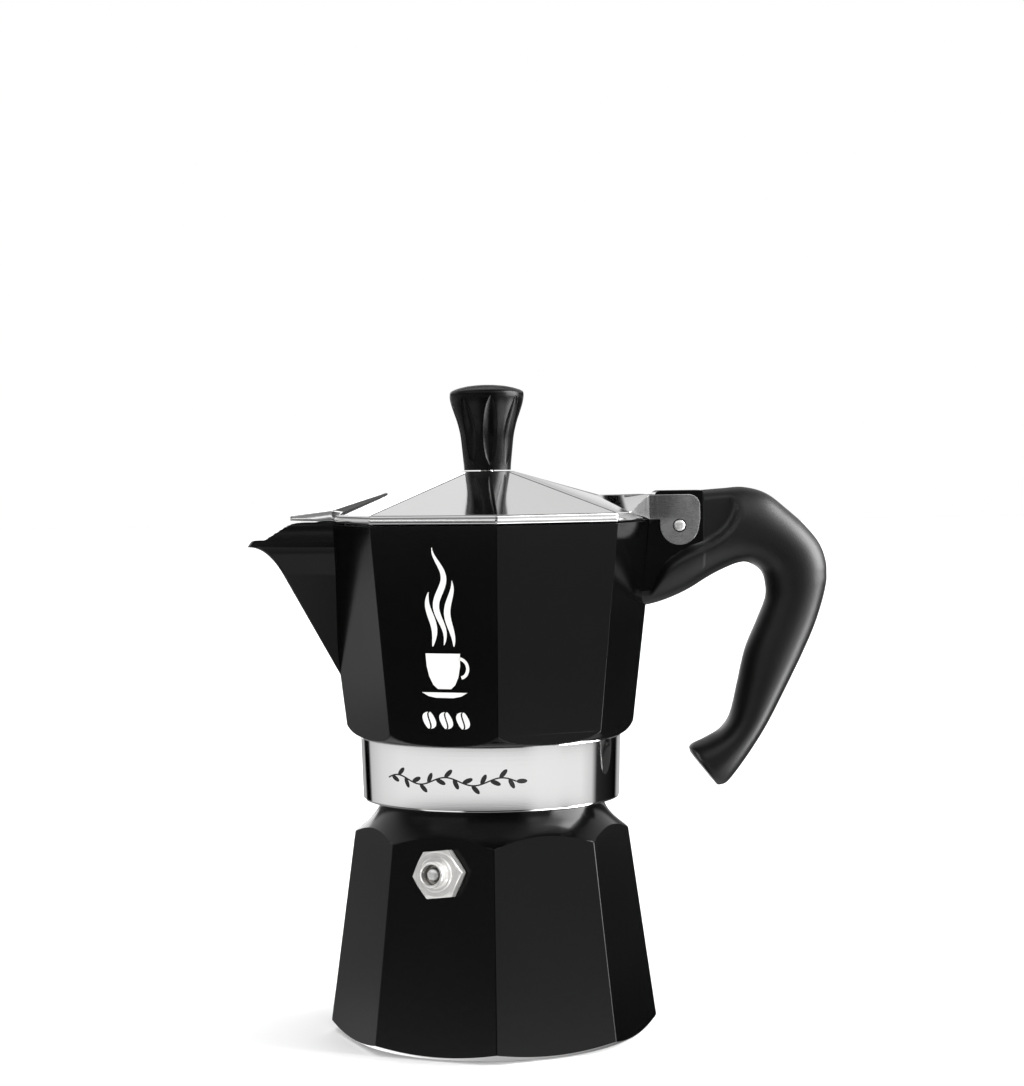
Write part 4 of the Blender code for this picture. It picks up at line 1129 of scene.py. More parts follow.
@dataclass
class Seal:
    """Gasket and filter plate under the collector."""

    shelf: Shelf

    def build(self) -> None:
        """Build the gasket with soft edges, and dress the plate."""
        low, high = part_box("gasket")
        inner_r, edge = 25.5 * MM, 0.5 * MM
        outer_r = high.x
        profile = [(inner_r + edge, low.z), (outer_r - edge, low.z), (outer_r, low.z + edge),
                   (outer_r, high.z - edge), (outer_r - edge, high.z), (inner_r + edge, high.z),
                   (inner_r, high.z - edge), (inner_r, low.z + edge)]
        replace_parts(piece("rubber_gasket", lathe(profile, ring=True), [self.shelf.rubber], "seal"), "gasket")
        dress("filter_plate", self.shelf.bare)


# ---------------------------------------------------------------- collector
@dataclass
class Collector:
    """Octagonal coffee vessel with its spout, hinge lug and polished collar."""

    shelf: Shelf
    low_r: float = 38.7 * MM
    low_z: float = 82.7 * MM
    top_r: float = 45.1 * MM
    rim_z: float = 136.7 * MM
    band_low_r: float = 34.45 * MM
    band_low_z: float = 62.9 * MM
    band_top_r: float = 34.95 * MM
    band_top_z: float = 79.8 * MM
    bore_r: float = 31.9 * MM
    seat_z: float = 80.8 * MM
    floor_z: float = 86.5 * MM
    wall: float = 2.4 * MM
    thread_z: float = 64.8 * MM
    lug_half: float = 4.9 * MM
    lug_length: float = 12.6 * MM
    lug_depth: float = 19.0 * MM
    lug_rise: float = 7.95 * MM
    spout_half_top: float = 8.7 * MM
    spout_foot_z: float = 95.7 * MM
    spout_wall: float = 1.6 * MM
    lean_out: float = 10.0 * MM
    lean_drop: float = 13.5 * MM
    tip_out: float = 19.6 * MM
    tip_drop: float = 5.9 * MM
    lip_out: float = 11.0 * MM
    lip_rise: float = 0.7 * MM
    keel_half: float = 1.3 * MM

    @property
    def walls(self) -> Taper:
        """The eight outer facets."""
        return Taper(self.low_r, self.low_z, self.top_r, self.rim_z)

    def build_shell(self) -> Object:
        """Turn and plane the vessel, add spout and lug, and hollow it."""
        wide = 1.3 * self.top_r
        bend = (self.low_r - 1.2 * MM, self.band_top_z + 0.25 * (self.low_z - self.band_top_z))
        skirt = bezier(((self.band_top_r, self.band_top_z), bend, (self.low_r, self.low_z)), 8)
        bm = lathe([(0, self.band_top_z), *skirt, (wide, self.rim_z - MM), (wide, self.rim_z),
                    (0, self.rim_z)])
        shave(bm, self.walls.planes())
        soften(bm, EDGE, chosen=lambda edge: min(v.co.z for v in edge.verts)
               > self.band_top_z + 0.2 * MM)
        shell = blank("collector_vessel", bm, [self.shelf.coat, self.shelf.cast])
        combine(shell, self._spout(), Join.UNITE)
        combine(shell, self._lug(), Join.UNITE)
        inner = self.walls.inset(self.wall)
        hollow = loft([octagon(inner.corner(z), z) for z in (self.floor_z, self.rim_z + MM)])
        soften(hollow, 1.2 * MM, segments=4,
               chosen=lambda edge: max(v.co.z for v in edge.verts) < self.rim_z)
        combine(shell, paint(hollow, 1), Join.CUT)
        combine(shell, paint(self._channel(), 1), Join.CUT)
        combine(shell, paint(self._underside(), 1), Join.CUT)
        return shell

    def _keel(self) -> list[Point2]:
        """Outer edge of the spout as (x, z), from the corner up to the tip and over the lip."""
        foot = (-self.walls.corner(self.spout_foot_z) + 0.3 * MM, self.spout_foot_z)
        lean = (-self.top_r - self.lean_out, self.rim_z - self.lean_drop)
        tip = (-self.top_r - self.tip_out, self.rim_z - self.tip_drop)
        slope = (lean[0] - foot[0]) / (lean[1] - foot[1])
        bend = (lean[0] + slope * (tip[1] - lean[1]), tip[1])
        lip = (-self.top_r - self.lip_out, self.rim_z + self.lip_rise)
        over = (0.5 * (tip[0] + lip[0]), lip[1])
        return [foot, *bezier((lean, bend, tip), 12), *bezier((tip, over, lip), 10)[1:]]

    def _half(self, z: float) -> float:
        """Half width of the spout where it meets the vessel."""
        share = (z - self.spout_foot_z) / (self.rim_z - self.spout_foot_z)
        return max(0.1 * MM, self.spout_half_top * share)

    def _nose(self, z: float) -> float:
        """Half width of the spout's keel, which widens toward the tip."""
        share = min(1.0, self._half(z) / self._half(self.rim_z - self.tip_drop))
        return min(self._half(z), self.keel_half * (1 + share ** 4))

    def _section(self, x_nose: float, nose: float, half: float, x_back: float,
                 z: float) -> list[Point3]:
        """Wedge-shaped level section, widening toward the pot, with a rounded nose.

        Args:
            x_nose: Where the keel is.
            nose: Half width of the keel.
            half: Half width where the spout meets the vessel.
            x_back: Where the section ends, inside the vessel.
            z: Its height.

        Returns:
            The section's points, from back to back round the nose.
        """
        x_side = -self.top_r + self.spout_half_top * math.tan(HALF_FACET)
        run = max(x_side - x_nose, MM)
        back = nose + (half - nose) * (x_back - x_nose) / run
        arc = [(x_nose + nose * 0.55 * (1 - math.cos(a)), nose * math.sin(a), z)
               for a in (math.radians(90 - 30 * k) for k in range(7))]
        return [(x_back, back, z), *arc, (x_back, -back, z)]

    def _spout(self) -> bmesh.types.BMesh:
        """Outer solid of the spout."""
        keel = self._keel()
        x_back = keel[0][0] + 3.9 * MM
        return loft([self._section(x, self._nose(z), self._half(z), x_back, z)
                     for x, z in keel])

    def _channel(self) -> bmesh.types.BMesh:
        """Cutter of the spout's open channel."""
        keel = self._keel()
        foot, lean, tip = keel[0], keel[1], min(keel)
        start_z = foot[1] + (self.rim_z - foot[1]) * (self.spout_wall + 0.6 * MM) \
            / self.spout_half_top
        share = (start_z - foot[1]) / (lean[1] - foot[1])
        start = (foot[0] + share * (lean[0] - foot[0]), start_z)
        line = [(x + self.spout_wall, z + self.spout_wall)
                for x, z in [start] + [p for p in keel[1:] if p[1] <= tip[1]]]
        far = tip[0] - 5 * MM
        line += [(far, tip[1] + self.spout_wall + 0.3 * MM), (far, self.rim_z + 3 * MM)]
        rings = []
        for x, z in line:
            nose = max(0.3 * MM, self._nose(z) - 0.6 * self.spout_wall)
            rings.append(self._section(x, nose, self._half(z) - self.spout_wall,
                                       foot[0] + 15.6 * MM, z))
        return loft(rings)

    def _lug(self) -> bmesh.types.BMesh:
        """Lug that carries the lid's hinge and the handle."""
        inner = self.wall / math.cos(HALF_FACET) - 0.6 * MM
        low, top = self.rim_z - self.lug_depth, self.rim_z + self.lug_rise
        end, nose = self.top_r + self.lug_length, self.top_r - 0.5 * MM
        outline = [(self.walls.corner(low) - inner, low), (nose, low + 0.4 * MM),
                   (end, low + 5.6 * MM), (end, top - 0.5 * MM), (end - 0.35 * MM, top),
                   (nose + 1.3 * MM, top), (nose + 0.4 * MM, top - 0.3 * MM), (nose, top - MM),
                   (nose, self.rim_z), (self.top_r - inner, self.rim_z - MM)]
        bm = slab(outline, -self.lug_half, self.lug_half)
        soften(bm, 0.3 * MM, 30.0, chosen=lambda edge: max(v.co.z for v in edge.verts)
               > self.rim_z + MM)
        return bm

    def _underside(self) -> bmesh.types.BMesh:
        """Cutter of the coffee chamber above the filter plate and of the column's hole."""
        dome_r, hole_r, dome_z = 20.0 * MM, 6.5 * MM, self.seat_z + 3.4 * MM
        return lathe([(0, self.band_top_z - 2 * MM), (self.bore_r, self.band_top_z - 2 * MM),
                      (self.bore_r, self.seat_z), (dome_r + 3 * MM, self.seat_z),
                      (dome_r, dome_z), (hole_r, dome_z), (hole_r, self.floor_z + MM),
                      (0, self.floor_z + MM)], FINE // 2)

    def build_band(self) -> Object:
        """Turn the polished collar."""
        edge = 0.35 * MM
        profile = [(self.bore_r, self.band_low_z + edge), (self.bore_r + edge, self.band_low_z),
                   (self.band_low_r - 0.7 * MM, self.band_low_z),
                   (self.band_low_r - 0.15 * MM, self.band_low_z + 0.2 * MM),
                   (self.band_low_r, self.band_low_z + 0.7 * MM),
                   (self.band_top_r, self.band_top_z - 0.25 * MM),
                   (self.band_top_r - 0.12 * MM, self.band_top_z + 0.05 * MM),
                   (self.bore_r, self.band_top_z + 0.05 * MM)]
        return piece("collar_band", lathe(profile, 192, ring=True),
                     [self.shelf.band], "collector", 50.0)

    def build(self) -> None:
        """Build the vessel, collar, thread and decorations."""
        shell = finish_piece(self.build_shell(), "collector")
        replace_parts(shell, "collector")
        self.build_band()
        add_thread("collar_thread", self.bore_r, -1, self.thread_z, self.shelf.bare,
                   "collector")
        CupEmblem(self.shelf, self.walls).build()
        VineBand(self.shelf, self).build()


@dataclass
class CupEmblem:
    """Printed sign of a steaming cup on the left front facet, drawn for this pot."""

    shelf: Shelf
    walls: Taper
    facet: int = 5
    middle_z: float = 92.0 * MM
    shift: float = 1.0 * MM
    lift: float = 0.025 * MM

    def build(self) -> None:
        """Draw cup, saucer, steam and three beans, and lay them on the facet."""
        bm = bmesh.new()
        bowl = [(-4.7, 12.2), (-4.55, 9.0), (-4.0, 6.3), (-3.0, 4.1), (-1.8, 3.0), (1.8, 3.0),
                (3.0, 4.1), (4.0, 6.3), (4.55, 9.0), (4.7, 12.2)]
        add_patch(bm, [(x * MM, y * MM) for x, y in reversed(bowl)])
        add_patch(bm, [(x * MM, y * MM) for x, y in
                       ((-6.2, 2.1), (-4.4, 1.1), (-2.4, 0.7), (2.4, 0.7), (4.4, 1.1),
                        (6.2, 2.1))])
        ear = [(4.3 + 2.3 * math.sin(a), 8.4 - 2.5 * math.cos(a), 0.42)
               for a in (math.radians(12 * k) for k in range(1, 16))]
        add_ribbon(bm, [(x * MM, y * MM, half * MM) for x, y, half in ear])
        for x, low, high, sway, start in ((-2.6, 14.0, 28.0, 1.0, 0.0), (0.0, 14.4, 39.5, 1.5, 0.6),
                                          (2.6, 14.0, 31.0, 1.0, 1.2)):
            self._steam(bm, x, low, high, sway, start)
        for x in (-4.6, 0.0, 4.6):
            self._bean(bm, x, -5.2)
        rise_solid(bm, 2 * self.lift)
        place = facet_frame(self.walls, self.facet, self.middle_z)
        bmesh.ops.transform(bm, verts=bm.verts, matrix=place @ Matrix.Translation(
            (self.shift, 0, -self.lift)))
        piece("cup_emblem", bm, [self.shelf.ink], "collector")

    @staticmethod
    def _steam(bm: bmesh.types.BMesh, x: float, low: float, high: float, sway: float,
               start: float) -> None:
        """Add one rising wisp that swells and fades, sizes in millimetres.

        Args:
            bm: The drawing that it joins.
            x: Its middle.
            low: Height of its foot.
            high: Height of its tip.
            sway: How far it swings to each side.
            start: Where in its swing the foot is, in radians.
        """
        path, steps, bend, thin, swell = [], 40, 0.42, 0.08, 0.78
        for k in range(steps + 1):
            share = k / steps
            y = low + share * (high - low)
            swing = sway * math.sin(start + bend * (y - low)) * (0.6 + 0.4 * share)
            half = thin + swell * math.sin(math.pi * min(1.0, share * 1.02)) ** 0.7
            path.append(((x + swing) * MM, y * MM, half * MM))
        add_ribbon(bm, path)

    @staticmethod
    def _bean(bm: bmesh.types.BMesh, x: float, y: float) -> None:
        """Add two half ovals with a curved gap between them, sizes in millimetres."""
        gap, wide, high, curve = 0.22, 1.5, 2.2, 0.35
        for side in (-1, 1):
            outer = [(x + side * (gap + wide * math.sin(a)) + curve * math.sin(2 * a - math.pi),
                      y + high * math.cos(a)) for a in (math.radians(15 * k) for k in range(13))]
            seam = [(x + side * gap + curve * math.sin(2 * a - math.pi), y + high * math.cos(a))
                    for a in (math.radians(15 * k) for k in range(11, 1, -1))]
            add_patch(bm, [(u * MM, v * MM) for u, v in (outer + seam)[::side]])


@dataclass
class VineBand:
    """Etched branch with leaves round the front of the collar, drawn for this pot."""

    shelf: Shelf
    collector: Collector
    start: float = math.radians(-143.0)
    stop: float = math.radians(-82.0)
    middle_z: float = 71.0 * MM
    waves: float = 2.5
    swing: float = 1.0 * MM
    stem_half: float = 0.19 * MM
    leaves: int = 15
    leaf_reach: float = 1.45 * MM
    leaf_half: float = 0.62 * MM
    leaf_turn: float = math.radians(44)
    lift: float = 0.02 * MM

    def build(self) -> None:
        """Draw stem and leaves flat, then wrap them round the collar."""
        band = self.collector
        mean_r = 0.5 * (band.band_low_r + band.band_top_r)
        length = (self.stop - self.start) * mean_r
        bm = bmesh.new()
        count = 120
        stem = [self._stem(k / count, length) for k in range(count + 1)]
        add_ribbon(bm, stem)
        reach = self.leaf_reach
        for k in range(self.leaves):
            share = (k + 0.6) / (self.leaves + 0.4)
            x, y, _ = self._stem(share, length)
            ahead = self._stem(share + 0.01, length)
            side = 1 if k % 2 else -1
            turn = math.atan2(ahead[1] - y, ahead[0] - x) + side * self.leaf_turn
            add_patch(bm, ellipse(x + reach * math.cos(turn), y + reach * math.sin(turn),
                                  reach, self.leaf_half, turn, 16))
        tip_x, tip_y, _ = self._stem(1.0, length)
        add_patch(bm, ellipse(tip_x + reach, tip_y, reach, self.leaf_half, 0.0, 16))
        rise_solid(bm, 2 * self.lift)
        rise = (band.band_top_r - band.band_low_r) / (band.band_top_z - band.band_low_z)
        for vert in bm.verts:
            angle = self.start + vert.co.x / mean_r
            z = self.middle_z + vert.co.y
            radius = band.band_low_r + rise * (z - band.band_low_z) + vert.co.z - self.lift
            vert.co = (radius * math.cos(angle), radius * math.sin(angle), z)
        bmesh.ops.recalc_face_normals(bm, faces=bm.faces)
        piece("etched_vine", bm, [self.shelf.etch], "collector")

    def _stem(self, share: float, length: float) -> tuple[float, float, float]:
        """Point and half width of the waving stem."""
        swing = self.swing * math.sin(math.tau * self.waves * share)
        return (share * length, swing, self.stem_half)


@dataclass
class Column:
    """Riser tube in the middle of the collector."""

    shelf: Shelf
    low_z: float = 86.8 * MM
    foot_r: float = 9.0 * MM
    low_r: float = 6.8 * MM
    top_r: float = 5.0 * MM
    bore_r: float = 3.4 * MM
    socket_r: float = 6.2 * MM
    slot_half: float = 1.8 * MM
    slot_high: float = 3.6 * MM

    def build(self) -> None:
        """Turn the tube with soft edges and cut its outlet."""
        base, top = (corner.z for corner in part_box("column"))
        foot, edge = self.low_z + 1.5 * MM, 0.35 * MM
        dome = [((self.top_r - MM) + MM * math.cos(a), top - MM + MM * math.sin(a))
                for a in (math.radians(18 * k) for k in range(6))]
        roof = top - 3.0 * MM
        tube = blank("riser_tube", lathe([
            (0, roof), (self.bore_r, roof - MM), (self.bore_r + MM, base),
            (self.socket_r, base), (self.socket_r, self.low_z),
            (self.foot_r - edge, self.low_z),
            (self.foot_r, self.low_z + edge), (self.foot_r, foot - edge),
            (self.foot_r - edge, foot), (self.low_r + 0.6 * MM, foot),
            (self.low_r, foot + 0.6 * MM), *dome, (0, top)], 64), [self.shelf.cast])
        slot_z = roof - MM
        slot_low = slot_z - self.slot_high
        slot = slab([(-self.low_r, slot_low), (self.low_r, slot_low), (self.low_r, slot_z),
                     (-self.low_r, slot_z)], -self.slot_half, self.slot_half)
        combine(tube, slot, Join.CUT)
        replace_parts(finish_piece(tube, "collector"), "column")


# ---------------------------------------------------------------- handle
@dataclass
class Handle:
    """Moulded handle with a thumb shoulder, a flared foot and a scoop for the lid's ears.

    The stations run from the foot to the lug: an outer and an inner point in millimetres from
    the lug's top rear corner, and the share of the full width. The arm's points go on under the
    lug. The border is the edge of the scoop, in millimetres from the hinge pin.
    """

    shelf: Shelf
    walls: Taper
    lug_end_x: float = 57.7 * MM
    lug_top_z: float = 144.65 * MM
    pin_x: float = 50.95 * MM
    pin_z: float = 135.3 * MM
    reach: float = 33.9
    foot_z: float = 80 * MM
    foot_edge: float = 1.0 * MM
    half: float = 8.0 * MM
    web_half: float = 4.75 * MM
    squareness: float = 2.12
    blend: float = 0.9 * MM
    sides: int = 100
    scoop: float = 2.8 * MM
    stations: tuple = (
        (3.6, -80.0, -3.6, -70.9, 0.82), (6.0, -79.3, -3.5, -69.0, 0.95),
        (9.0, -75.8, 0.6, -67.0, 1.0), (13.0, -70.2, 4.6, -64.6, 1.0),
        (17.2, -63.6, 7.3, -60.6, 1.0), (22.3, -54.0, 9.3, -52.4, 1.0),
        (27.4, -43.8, 11.5, -43.2, 1.0), (31.0, -35.4, 14.9, -35.2, 1.0),
        (33.5, -26.8, 17.2, -29.3, 1.0), (33.9, -21.0, 17.2, -25.2, 1.0),
        (32.2, -15.2, 16.3, -22.4, 1.0), (28.4, -10.2, 14.2, -20.5, 1.0),
        (23.3, -5.5, 11.5, -19.6, 1.0), (17.6, -1.1, 8.5, -20.2, 1.0),
        (11.5, 0.65, 5.2, -21.6, 1.0), (5.6, 0.4, 2.4, -23.0, 1.0), (0.0, 0.0, 0.0, -24.4, 1.0))
    arm: tuple = ((0.0, -24.4), (-4.0, -26.8), (-8.6, -28.9), (-12.1, -30.1), (-15.0, -30.8))
    border: tuple = ((-9.0, -24.0), (-8.6, -20.8), (-7.3, -15.4), (-4.8, -10.6), (-1.9, -8.0),
                     (2.0, -5.8), (6.0, -4.2), (10.3, -1.8), (13.2, 1.4), (14.5, 4.8),
                     (13.8, 8.0), (13.4, 14.0))

    def ring(self, outer: Vector, inner: Vector, half: float) -> list[Point3]:
        """Rounded section between two points of the XZ plane.

        Args:
            outer: Where the section starts.
            inner: Where it ends.
            half: Half its width along Y.

        Returns:
            The section's points, once round.
        """
        middle, reach = (outer + inner) / 2, (outer - inner) / 2
        points = []
        for index in range(self.sides):
            angle = math.tau * (index + 0.5) / self.sides
            c = math.cos(angle)
            across = (1 - abs(c) ** self.squareness) ** (1 / self.squareness)
            centre = middle + reach * c
            points.append((centre.x, half * math.copysign(across, math.sin(angle)), centre.y))
        return points

    def rings(self) -> list[list[Point3]]:
        """Sections from the foot's end, up the grip and along the arm to the vessel."""
        origin = Vector((self.lug_end_x, self.lug_top_z))
        found = []
        for station in smooth_line(self.stations, 12):
            outer = origin + Vector((min(station[0], self.reach), station[1])) * MM
            inner = origin + Vector(station[2:4]) * MM
            found.append(self.ring(outer, inner, station[4] * self.half))
        for low in smooth_line(self.arm, 8)[1:]:
            x = self.lug_end_x + low[0] * MM
            top = Vector((x, self.lug_top_z - 1.5 * MM))
            found.append(self.ring(top, Vector((x, origin.y + low[1] * MM)), self.half))
        last = []
        for x, y, z in found[-1]:
            face = self.walls.corner(z) - abs(y) * math.tan(HALF_FACET) - 0.5 * MM
            last.append((min(x, face), y, z))
        return found + [last]

    def build(self) -> None:
        """Loft the handle, flare its foot, and sink the scoop into both sides."""
        bm = loft(self.rings())
        foot = [edge for edge in bm.edges if edge.is_manifold
                and any(len(face.verts) > 8 for face in edge.link_faces)
                and edge.verts[0].co.z < self.foot_z]
        bmesh.ops.bevel(bm, geom=foot, offset=self.foot_edge, offset_type="OFFSET", segments=4,
                        profile=0.5, affect="EDGES", material=-1, clamp_overlap=True)
        border = [Vector((self.pin_x + x * MM, self.pin_z + z * MM))
                  for x, z in smooth_line(self.border, 6)]
        for vert in bm.verts:
            limit = self._side_limit(Vector((vert.co.x, vert.co.z)), border)
            share = min(1.0, max(0.0, 0.5 + 0.5 * (limit - abs(vert.co.y)) / self.blend))
            low = limit + share * (abs(vert.co.y) - limit) - self.blend * share * (1 - share)
            if limit < self.half - 0.01 * MM:
                vert.co.y = math.copysign(max(0.0, min(abs(vert.co.y), low)), vert.co.y)
        bmesh.ops.recalc_face_normals(bm, faces=bm.faces)
        made = piece("grip_handle", bm, [self.shelf.handle], "collector", 60.0)
        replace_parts(made, "handle")

    def _side_limit(self, point: Vector, border: Sequence[Vector]) -> float:
        """Half width allowed at a point: the web inside the scoop, easing out beyond it."""
        beyond_x, beyond_z = self.pin_x + 22 * MM, self.pin_z - 24 * MM
        if point.x > beyond_x or point.y < beyond_z:
            return self.half
        best, inside = math.inf, False
        for start, stop in zip(border, border[1:]):
            run = stop - start
            share = min(1.0, max(0.0, (point - start).dot(run) / run.length_squared))
            gap = point - (start + share * run)
            if gap.length < best:
                best = gap.length
                inside = run.x * gap.y - run.y * gap.x > 0
        if inside:
            return self.web_half
        return self.web_half + (self.half - self.web_half) * smoothstep(best / self.scoop)


@dataclass
class Pins:
    """Hinge pin and the handle's blind cross pin."""

    shelf: Shelf
    dome: float = 0.45 * MM
    cross_start: float = -3.0 * MM

    def build(self) -> None:
        """Turn the hinge pin with peened heads, and the cross pin."""
        low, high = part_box("hinge_pin")
        centre = (low + high) / 2
        radius, reach = (high.x - low.x) / 2, (high.y - low.y) / 2
        dome = [(radius * math.sin(a), reach - self.dome * (1 - math.cos(a)))
                for a in (math.radians(18 * k) for k in range(1, 6))]
        profile = [(0, -reach), *[(r, -z) for r, z in dome], *reversed(dome), (0, reach)]
        bm = lathe(profile, SMALL)
        bmesh.ops.transform(bm, matrix=about(centre, math.pi / 2, "X"), verts=bm.verts)
        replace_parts(piece("hinge_rivet", bm, [self.shelf.steel], "collector"),
                    "hinge_pin")
        low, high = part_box("handle_pin")
        centre = Vector(((low.x + high.x) / 2, 0, (low.z + high.z) / 2))
        radius, edge = (high.x - low.x) / 2, 0.3 * MM
        bm = lathe([(0, -self.cross_start), (radius, -self.cross_start), (radius, -high.y + edge),
                    (radius - edge, -high.y), (0, -high.y)], SMALL)
        bmesh.ops.transform(bm, matrix=about(centre, math.pi / 2, "X"), verts=bm.verts)
        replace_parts(piece("cross_pin", bm, [self.shelf.steel], "collector"),
                    "handle_pin")


# ---------------------------------------------------------------- lid
@dataclass
class Lid:
    """Pressed lid: pyramid, spout cover, raised tongue and two hinge ears."""

    shelf: Shelf
    corner_r: float = 45.1 * MM
    low_z: float = 137.0 * MM
    rim: float = 2.3 * MM
    top_z: float = 150.4 * MM
    apex_r: float = 7.0 * MM
    sheet: float = 1.0 * MM
    cover_front: float = 8.0 * MM
    cover_half: float = 9.6 * MM
    ridge_x: float = 26.8 * MM
    tongue_x: float = 28.0 * MM
    tongue_top: float = 143.7 * MM
    tongue_end: float = 5.0 * MM
    flare: float = 22.0 * MM
    ear_in: float = 5.35 * MM
    ear_out: float = 6.95 * MM
    ear_top: float = 143.6 * MM
    lobe_r: float = 5.2 * MM
    ear_rear: float = 5.55 * MM
    pin_x: float = 50.95 * MM
    pin_z: float = 135.3 * MM
    step: float = 0.14 * MM
    crease_z: float = 137.7 * MM
    rib_depth: float = 0.55 * MM
    lip: float = 0.7 * MM
    pin_hole_r: float = 1.8 * MM
    screw_hole_r: float = 2.1 * MM

    def _pyramid(self, inset: float = 0.0, drop: float = 0.0) -> bmesh.types.BMesh:
        """Rim and pyramid, or its inside when inset."""
        corner = self.corner_r - inset / math.cos(HALF_FACET)
        return hull(octagon(corner, self.low_z - drop)
                    + octagon(corner, self.low_z + self.rim - 0.6 * inset)
                    + octagon(self.apex_r, self.top_z - inset))

    def _cover(self, inset: float = 0.0) -> bmesh.types.BMesh:
        """Pointed cover over the spout."""
        front = -self.corner_r - self.cover_front + inset
        side_x, half = -self.corner_r + 3.4 * MM, self.cover_half - inset
        rim_top, low = self.low_z + self.rim, self.low_z + self.lip - 2 * inset
        points = [(front, 0, rim_top - 0.2 * MM - inset), (front, 0, low),
                  (-self.ridge_x, 0, self.top_z - 5.3 * MM - inset)]
        for sign in (-1, 1):
            nose = sign * 1.56 * MM
            points += [(front + 0.5 * MM, nose, rim_top - 0.3 * MM - inset),
                       (front + 0.5 * MM, nose, low),
                       (side_x, sign * half, rim_top + 1.2 * MM - inset),
                       (side_x, sign * half, low), (-self.ridge_x, sign * 0.6 * half, low)]
        return hull(points)

    def _tongue(self, inset: float = 0.0) -> bmesh.types.BMesh:
        """Raised tongue toward the hinge, flaring down to the rim."""
        top, rim_top = self.tongue_top - inset, self.low_z + self.rim - inset
        rear = self.corner_r - 2.2 * MM
        flare_x = self.corner_r - self.flare * math.tan(HALF_FACET)
        floor = self.low_z - (MM if inset else 0)
        points = []
        for sign in (-1, 1):
            points += [(self.tongue_x, sign * (3.0 * MM - 0.5 * inset), top - 0.1 * MM),
                       (rear, sign * (self.ear_out - inset), top),
                       (rear, sign * (self.ear_out - inset), floor),
                       (flare_x - inset, sign * (self.flare - inset), rim_top),
                       (self.tongue_x, sign * (3.0 * MM - 0.5 * inset), floor)]
        return hull(points)

    def _rib(self, sign: int) -> bmesh.types.BMesh:
        """Spindle that presses the stiffening groove into one side of the tongue."""
        start = Vector((self.tongue_x + 3.5 * MM, sign * 5.6 * MM, self.tongue_top - 0.9 * MM))
        stop = Vector((self.corner_r - 4.5 * MM, sign * 10.6 * MM, self.low_z + 3.9 * MM))
        rings, sides = 12, 16
        run = stop - start
        across = run.cross(Vector((0, 0, 1))).normalized()
        above = across.cross(run).normalized()
        line = []
        for k in range(rings + 1):
            share = k / rings
            wide = self.rib_depth * (0.25 + 1.1 * share) * max(0.1, 1 - share ** 6) ** 0.5
            line.append([tuple(start + run * share + wide * (across * math.cos(a)
                                                             + above * math.sin(a)))
                         for a in (math.tau * j / sides for j in range(sides))])
        return loft(line)

    def _ear(self) -> list[Point2]:
        """Side view of an ear as (x, z)."""
        rear, round_r = self.pin_x + self.ear_rear, 3.0 * MM
        corner = [(rear - round_r + round_r * math.cos(a),
                   self.ear_top - round_r + round_r * math.sin(a))
                  for a in (math.pi / 2 * k / 8 for k in range(9))]
        lobe = [(self.pin_x + self.lobe_r * math.cos(a), self.pin_z + self.lobe_r * math.sin(a))
                for a in (math.radians(-180 + 9 * k) for k in range(20))]
        return [(self.corner_r - 9 * MM, self.ear_top), (self.corner_r - 9 * MM, self.low_z),
                (self.pin_x - self.lobe_r, self.low_z), *lobe,
                (rear, self.pin_z + 0.3 * self.lobe_r), *corner]

    def _press(self) -> Object:
        """Press the lid's shape and hollow it."""
        outer = self._pyramid()
        soften(outer, 0.5 * MM, 6.0, 3)
        shell = blank("lid_plate", outer, [self.shelf.lid, self.shelf.ears, self.shelf.bare])
        for solid in (self._cover(), self._tongue()):
            soften(solid, 0.3 * MM, 12.0, 2, clamp=True)
            combine(shell, solid, Join.UNITE)
        for inside in (self._pyramid(self.sheet, MM), self._cover(self.sheet),
                       self._tongue(self.sheet)):
            combine(shell, paint(inside, 2), Join.CUT)
        return shell

    def _step(self, sign: int) -> bmesh.types.BMesh:
        """Cutter of the shallow step that sets off an ear's lobe."""
        face = sign * (self.ear_out - self.step)
        front, foot = self.pin_x - self.lobe_r - 0.3 * MM, self.pin_z - 6 * MM
        bm = slab([(front, foot), (self.pin_x + 3.9 * MM, foot),
                   (self.pin_x + 3.4 * MM, self.crease_z), (front, self.crease_z)],
                  *sorted((face, sign * (self.ear_out + MM))))
        return paint(bm, 1)

    def _trim(self, shell: Object) -> None:
        """Cut the tongue's end and the spout cover's lip back, and step and groove the ears."""
        x_end, x_far = self.corner_r - self.tongue_end, self.corner_r + 20 * MM
        low, high = self.low_z - MM, self.ear_top + 2 * MM
        combine(shell, slab([(x_end, low), (x_far, low), (x_far, high), (x_end, high)],
                            -self.ear_in, self.ear_in), Join.CUT)
        x_front, x_lip = -self.corner_r - 19.6 * MM, -self.corner_r + 5 * MM
        lip_z, half = self.low_z + self.lip, self.cover_half + MM
        combine(shell, slab([(x_front, low), (x_lip, low), (x_lip, lip_z), (x_front, lip_z)],
                            -half, half), Join.CUT)
        for sign in (-1, 1):
            combine(shell, self._step(sign), Join.CUT)
            combine(shell, paint(self._rib(sign), 0), Join.CUT)

    def _drill(self, shell: Object) -> None:
        """Drill the hinge pin's hole and the knob screw's hole."""
        far = self.ear_out + MM
        hole = lathe([(0, -far), (self.pin_hole_r, -far), (self.pin_hole_r, far), (0, far)],
                     SMALL)
        bmesh.ops.transform(hole, verts=hole.verts, matrix=about(
            Vector((self.pin_x, 0, self.pin_z)), math.pi / 2, "X"))
        combine(shell, hole, Join.CUT)
        low, high = self.top_z - 3 * MM, self.top_z + MM
        combine(shell, lathe([(0, low), (self.screw_hole_r, low), (self.screw_hole_r, high),
                              (0, high)], SMALL), Join.CUT)

